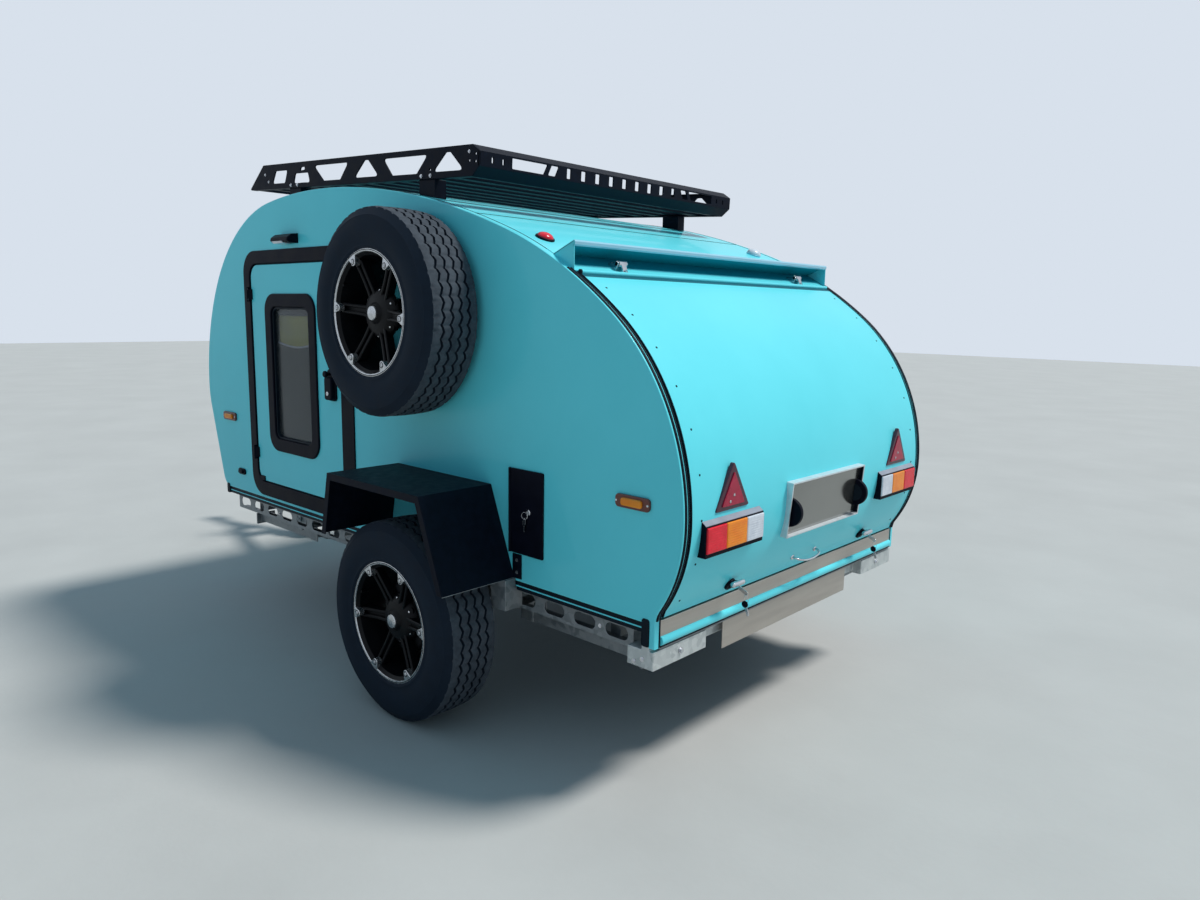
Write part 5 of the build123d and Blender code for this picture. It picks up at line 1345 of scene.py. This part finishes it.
def buildPorch():
    wall = shell["halfWidth"]
    front, high, half = wall + porch["depth"], porch["height"], porch["half"]
    middle = (door["rearX"] + door["frontX"]) / 2
    low = frameRect[3] + porch["gap"]
    section = [(wall - 0.0005, low), (front - 0.010, low + 0.002), (front, low + 0.010),
               (front - 0.004, low + 0.022), (front - 0.022, low + high - 0.003), (wall - 0.0005, low + high)]
    strip = [(wall + 0.012, low - 0.003), (front - 0.008, low - 0.001), (front + 0.001, low + 0.007),
             (front - 0.006, low + 0.009), (wall + 0.012, low + 0.004)]
    bm = bmesh.new()
    for side in (-1, 1):

        def onPorch(u, v, height, side=side):
            return at(height, side * u, v)

        plateIn(bm, [section], middle - half, middle + half, onPorch, 0.004, 0, 0.004, 3)
        plateIn(bm, [strip], middle - 0.024, middle + half - 0.014, onPorch, 0.0015, 1)
    newPiece("porchLamps", bm, "trailer", "blackPlastic clearLens", replaces="porch_lamps")
    bm = bmesh.new()                        # covered socket low on the wall, ahead of the door
    for rect, radius, low, high, edge in wallSocket:
        for side, turn, place in sides:
            plateIn(bm, [roundRect(*rect, radius, 6)], wall + low, wall + high, place, edge)
    newPiece("wallSockets", bm, "trailer", "blackPlastic")
    print("small lamps")


buildMarkers()
buildDomes()
buildPorch()


# Roof rack: side plates with cut-outs and a tray frame, tilted about its rear lower edge

rack = {
    "rearX": 0.765, "rearZ": 1.797, "length": 1.573, "height": 0.100, "half": 0.708, "sheet": 0.006,
    "tilt": 2.8, "frontSlant": 0.126, "tailX": 0.037, "tailLow": 0.031, "tailTop": 0.022,
    "cutouts": (
        ((0.081, 0.022), (0.247, 0.022), (0.176, 0.082), (0.152, 0.082)),
        ((0.338, 0.020), (0.486, 0.020), (0.544, 0.080), (0.276, 0.080)),
        ((0.572, 0.022), (0.736, 0.022), (0.664, 0.082), (0.640, 0.082)),
        ((0.832, 0.020), (0.955, 0.020), (1.030, 0.080), (0.775, 0.080)),
        ((1.060, 0.018), (1.190, 0.018), (1.176, 0.056), (1.074, 0.056)),
        ((1.098, 0.068), (1.136, 0.066), (1.130, 0.078), (1.100, 0.080)),
        ((1.262, 0.022), (1.370, 0.022), (1.340, 0.072), (1.240, 0.072)),
    ),
    "holes": ((0.020, 0.046), (0.020, 0.070), (0.052, 0.050), (0.262, 0.030)),
    "windows": ((0, 0.012), (-0.075, 0.012), (0.075, 0.012), (-0.150, 0.012), (0.150, 0.012), (-0.225, 0.012),
                (0.225, 0.012), (-0.300, 0.010), (0.300, 0.010)),                 # middle, half width
    "slopedWindows": ((0.350, 0.386, 0.402, 0.366), (0.404, 0.567, 0.567, 0.422)),
    "bolts": ((0.259, 0.011, 0.007), (0.311, 0.011, 0.007), (1.159, 0.011, 0.007), (1.211, 0.011, 0.007),
              (0.052, 0.078, 0.006), (1.40, 0.030, 0.006), (1.43, 0.060, 0.006)),       # along, up, size
}
rackTilt = (Matrix.Translation(at(rack["rearX"], 0, rack["rearZ"]))
            @ Matrix.Rotation(-math.radians(rack["tilt"]), 4, "Y"))


def onRack(u, v, height):
    return rackTilt @ Vector((u, height, v))


def onRackRight(u, v, height):
    return rackTilt @ Vector((u, -height, v))


def onRackRear(u, v, height):
    return rackTilt @ Vector((-height, u, v))


def rectangle(u0, u1, v0, v1):
    return [(u0, v0), (u1, v0), (u1, v1), (u0, v1)]


def buildRack():
    length, height, half = rack["length"], rack["height"], rack["half"]
    sheet, tail = rack["sheet"], rack["tailX"]
    low, high = rack["tailLow"], height - rack["tailTop"]
    outline = roundCorners([(tail, 0), (length, 0), (length - rack["frontSlant"], height), (tail, height),
                            (0, high), (0, low)], 0.006)
    holes = [roundCorners(corners, 0.009) for corners in rack["cutouts"]]
    holes += [arcPoints(middle, (0.0045, 0.0045), 0, 360, 14)[:-1] for middle in rack["holes"]]
    bm = bmesh.new()
    for place, wall in ((onRack, 1), (onRackRight, -1)):
        plateIn(bm, [outline] + holes, half - sheet, half, place, 0.0012)
        for inner, z0, z1, x0, x1 in ((0.026, 0, 0.004, tail + 0.004, length - 0.01),
                                      (0.018, height - 0.004, height, tail,
                                       length - rack["frontSlant"] - 0.002)):
            plateIn(bm, [rectangle(half - inner, half - sheet + 0.001, z0, z1)], x0, x1,
                    lambda u, v, h, wall=wall: rackTilt @ Vector((h, wall * u, v)), 0.0008)
    windows = [roundRect(y - w, y + w, low + 0.008, high - 0.005, 0.003, 3) for y, w in rack["windows"]]
    for side in (-1, 1):
        for top0, top1, low1, low0 in rack["slopedWindows"]:
            windows.append(roundCorners([(side * top0, high - 0.005), (side * top1, high - 0.005),
                                         (side * low1, low + 0.008), (side * low0, low + 0.008)], 0.004))
        for y in (0.606, 0.652):
            windows.append(roundRect(side * y - 0.004, side * y + 0.004, low + 0.014, high - 0.014,
                                     0.0038, 4))
    plateIn(bm, [rectangle(-half, half, low, high)] + windows, -sheet, 0, onRackRear, 0.0008)
    for fold in (((0, low), (tail, 0), (tail + 0.003, 0.005), (0.006, low + 0.002)),
                 ((0, high), (tail, height), (tail + 0.003, height - 0.005), (0.006, high - 0.002))):
        plateIn(bm, [fold], -half + 0.001, half - 0.001, onRack, 0.0008)
    plateIn(bm, [rectangle(length - 0.040, length - 0.034, 0.0, 0.020)], -half + sheet, half - sheet,
            onRack, 0.0008)
    newPiece("rackFrame", bm, "trailer", "blackPowder", replaces="rack_frame")
    bm = bmesh.new()
    for place, wall in ((onRack, 1), (onRackRight, -1)):
        for u, v, size in rack["bolts"]:
            boltIn(bm, place(u, v, half - 0.0005), alongY * wall, size)
    newPiece("rackBolts", bm, "trailer", "polished")
    print("rack")


buildRack()


# Small parts of the drawbar, jockey wheel and coupler

jockey = {"x": 3.330, "trail": 0.045, "wheel": 0.105, "drawZ": 0.390}
chassisBolts = (((-0.010, 0.7685, 0.412), alongY, 0.008), ((0.020, 0.7685, 0.398), alongY, 0.008),
                ((-0.0485, 0.640, 0.412), -alongX, 0.011), ((0.175, 0.7425, 0.454), alongY, 0.007),
                ((0.565, 0.7425, 0.454), alongY, 0.007), ((1.345, 0.7425, 0.454), alongY, 0.007),
                ((2.125, 0.7425, 0.454), alongY, 0.007))         # left one of a pair, direction, size


def buildHitchParts():
    bm = bmesh.new()
    x, z = jockey["x"], jockey["drawZ"] + 0.046
    turnedIn(bm, ((0.031, -0.022), (0.040, -0.020), (0.040, 0.020), (0.031, 0.022)), at(x, 0, z), alongZ, 40,
             closed=True)
    for boltX, y, boltZ, size in ((x, 0.048, z - 0.025, 0.010), (3.610, 0.024, 0.466, 0.011),
                                  (3.660, 0.024, 0.466, 0.011)):
        for side in (-1, 1):
            boltIn(bm, at(boltX, side * y, boltZ), alongZ, size)
    tubeIn(bm, [at(x, 0.038, z), at(x, 0.070, z), at(x, 0.074, z + 0.006), at(x, 0.074, z + 0.052)],
           0.006, 14)
    turnedIn(bm, ((0, -0.004), (0.011, -0.002), (0.012, 0.010), (0.009, 0.022), (0, 0.024)),
             at(x, 0.074, z + 0.048), alongZ, 20, 1)
    turnedIn(bm, ((0.0135, 0), (0.0145, 0.006), (0.0145, 0.058), (0.011, 0.064), (0, 0.066)),
             at(x - 0.120, 0, 0.820), alongZ, 24, 1)
    newPiece("jockeyClamp", bm, "trailer", "polished blackPlastic")
    bm = bmesh.new()
    hub = at(x - jockey["trail"], 0, jockey["wheel"])
    for side in (-1, 1):
        turnedIn(bm, ((0.009, 0.0290), (0.060, 0.0284), (0.064, 0.0292), (0.068, 0.0284), (0.068, 0.0270),
                      (0.009, 0.0270)), hub, alongY * side, 40, closed=True)
    newPiece("jockeyDisc", bm, "jockey_roller", "shadedZinc")
    bm = bmesh.new()
    for side in (-1, 1):
        for (boltX, y, z), axis, size in chassisBolts:
            boltIn(bm, at(boltX, side * y, z), axis * side if axis is alongY else axis, size)
    newPiece("chassisBolts", bm, "trailer", "polished")
    print("hitch")


buildHitchParts()


# Stage: pale floor and backdrop, soft light, camera

stage = {"floorSize": 60.0, "sky": (216, 225, 236), "fill": (178, 222, 250), "skyLight": (0.30, 0.46)}
sun = {"from": (-0.46, -0.50, 1.05), "angle": 12, "strength": 2.9, "colour": (1.0, 0.985, 0.95)}
camera = {"place": (-1.4479, 2.5367, 1.3743), "yaw": -47.65, "pitch": 9.21, "roll": 1.02, "lens": 25.6245}


def buildFloor():
    bm = bmesh.new()
    bmesh.ops.create_grid(bm, x_segments=8, y_segments=8, size=stage["floorSize"] / 2)
    mesh = bpy.data.meshes.new("floor")
    bm.to_mesh(mesh)
    bm.free()
    mesh.materials.append(makeFinish("paleFloor", (184, 183, 180), (194, 193, 190), scale=1.2,
                                     rough=(0.7, 0.85), bump=0.3, bumpScale=40, bumpDepth=0.002))
    addObject("paleFloor", mesh)


def buildSky():                 # soft light that falls from above, and a plain sky wherever it is seen
    scene.world = bpy.data.worlds.new("studioSky")
    scene.world.use_nodes = True
    tree = scene.world.node_tree
    tree.nodes.clear()
    split = addNode(tree, "SeparateXYZ", {}, {0: addNode(tree, "TexCoord").outputs["Generated"]})
    low, high = stage["skyLight"]
    fade = addNode(tree, "MapRange", {"To Min": low, "To Max": high}, {"Value": split.outputs["Z"]})
    soft = addNode(tree, "Background", {"Color": linear(*stage["fill"])},
                   {"Strength": fade.outputs["Result"]})
    seen = addNode(tree, "Background", {"Color": linear(*stage["sky"]), "Strength": 1.0})
    rays = addNode(tree, "LightPath").outputs
    either = addNode(tree, "Math", {}, {0: rays["Is Camera Ray"], 1: rays["Is Glossy Ray"]})
    both = addNode(tree, "Math", {}, {0: either.outputs[0], 1: rays["Is Transmission Ray"]})
    either.operation = both.operation = "MAXIMUM"
    mix = addNode(tree, "MixShader", {}, {"Fac": both.outputs[0], 1: soft.outputs[0], 2: seen.outputs[0]})
    addNode(tree, "OutputWorld", {}, {"Surface": mix.outputs[0]})


def buildSun():
    lamp = bpy.data.lights.new("sun", "SUN")
    lamp.angle = math.radians(sun["angle"])
    lamp.energy = sun["strength"]
    lamp.color = sun["colour"]
    addObject("sun", lamp).rotation_euler = Vector(sun["from"]).to_track_quat("Z", "Y").to_euler()


def buildCamera():
    yaw, pitch, roll = (math.radians(camera[key]) for key in ("yaw", "pitch", "roll"))
    ahead = Vector((math.cos(pitch) * math.cos(yaw), math.cos(pitch) * math.sin(yaw), -math.sin(pitch)))
    right = ahead.cross(alongZ).normalized()
    up = right.cross(ahead)
    tiltedRight = right * math.cos(roll) + up * math.sin(roll)
    tiltedUp = up * math.cos(roll) - right * math.sin(roll)
    data = bpy.data.cameras.new("camera")
    data.sensor_fit = "HORIZONTAL"
    data.sensor_width = 36
    data.lens = camera["lens"]
    scene.camera = addObject("camera", data)
    turn = Matrix((tiltedRight, tiltedUp, -ahead)).transposed().to_4x4()
    scene.camera.matrix_world = Matrix.Translation(at(*camera["place"])) @ turn


buildFloor()
buildSky()
buildSun()
buildCamera()
scene.view_settings.view_transform = "Standard"
print("stage")
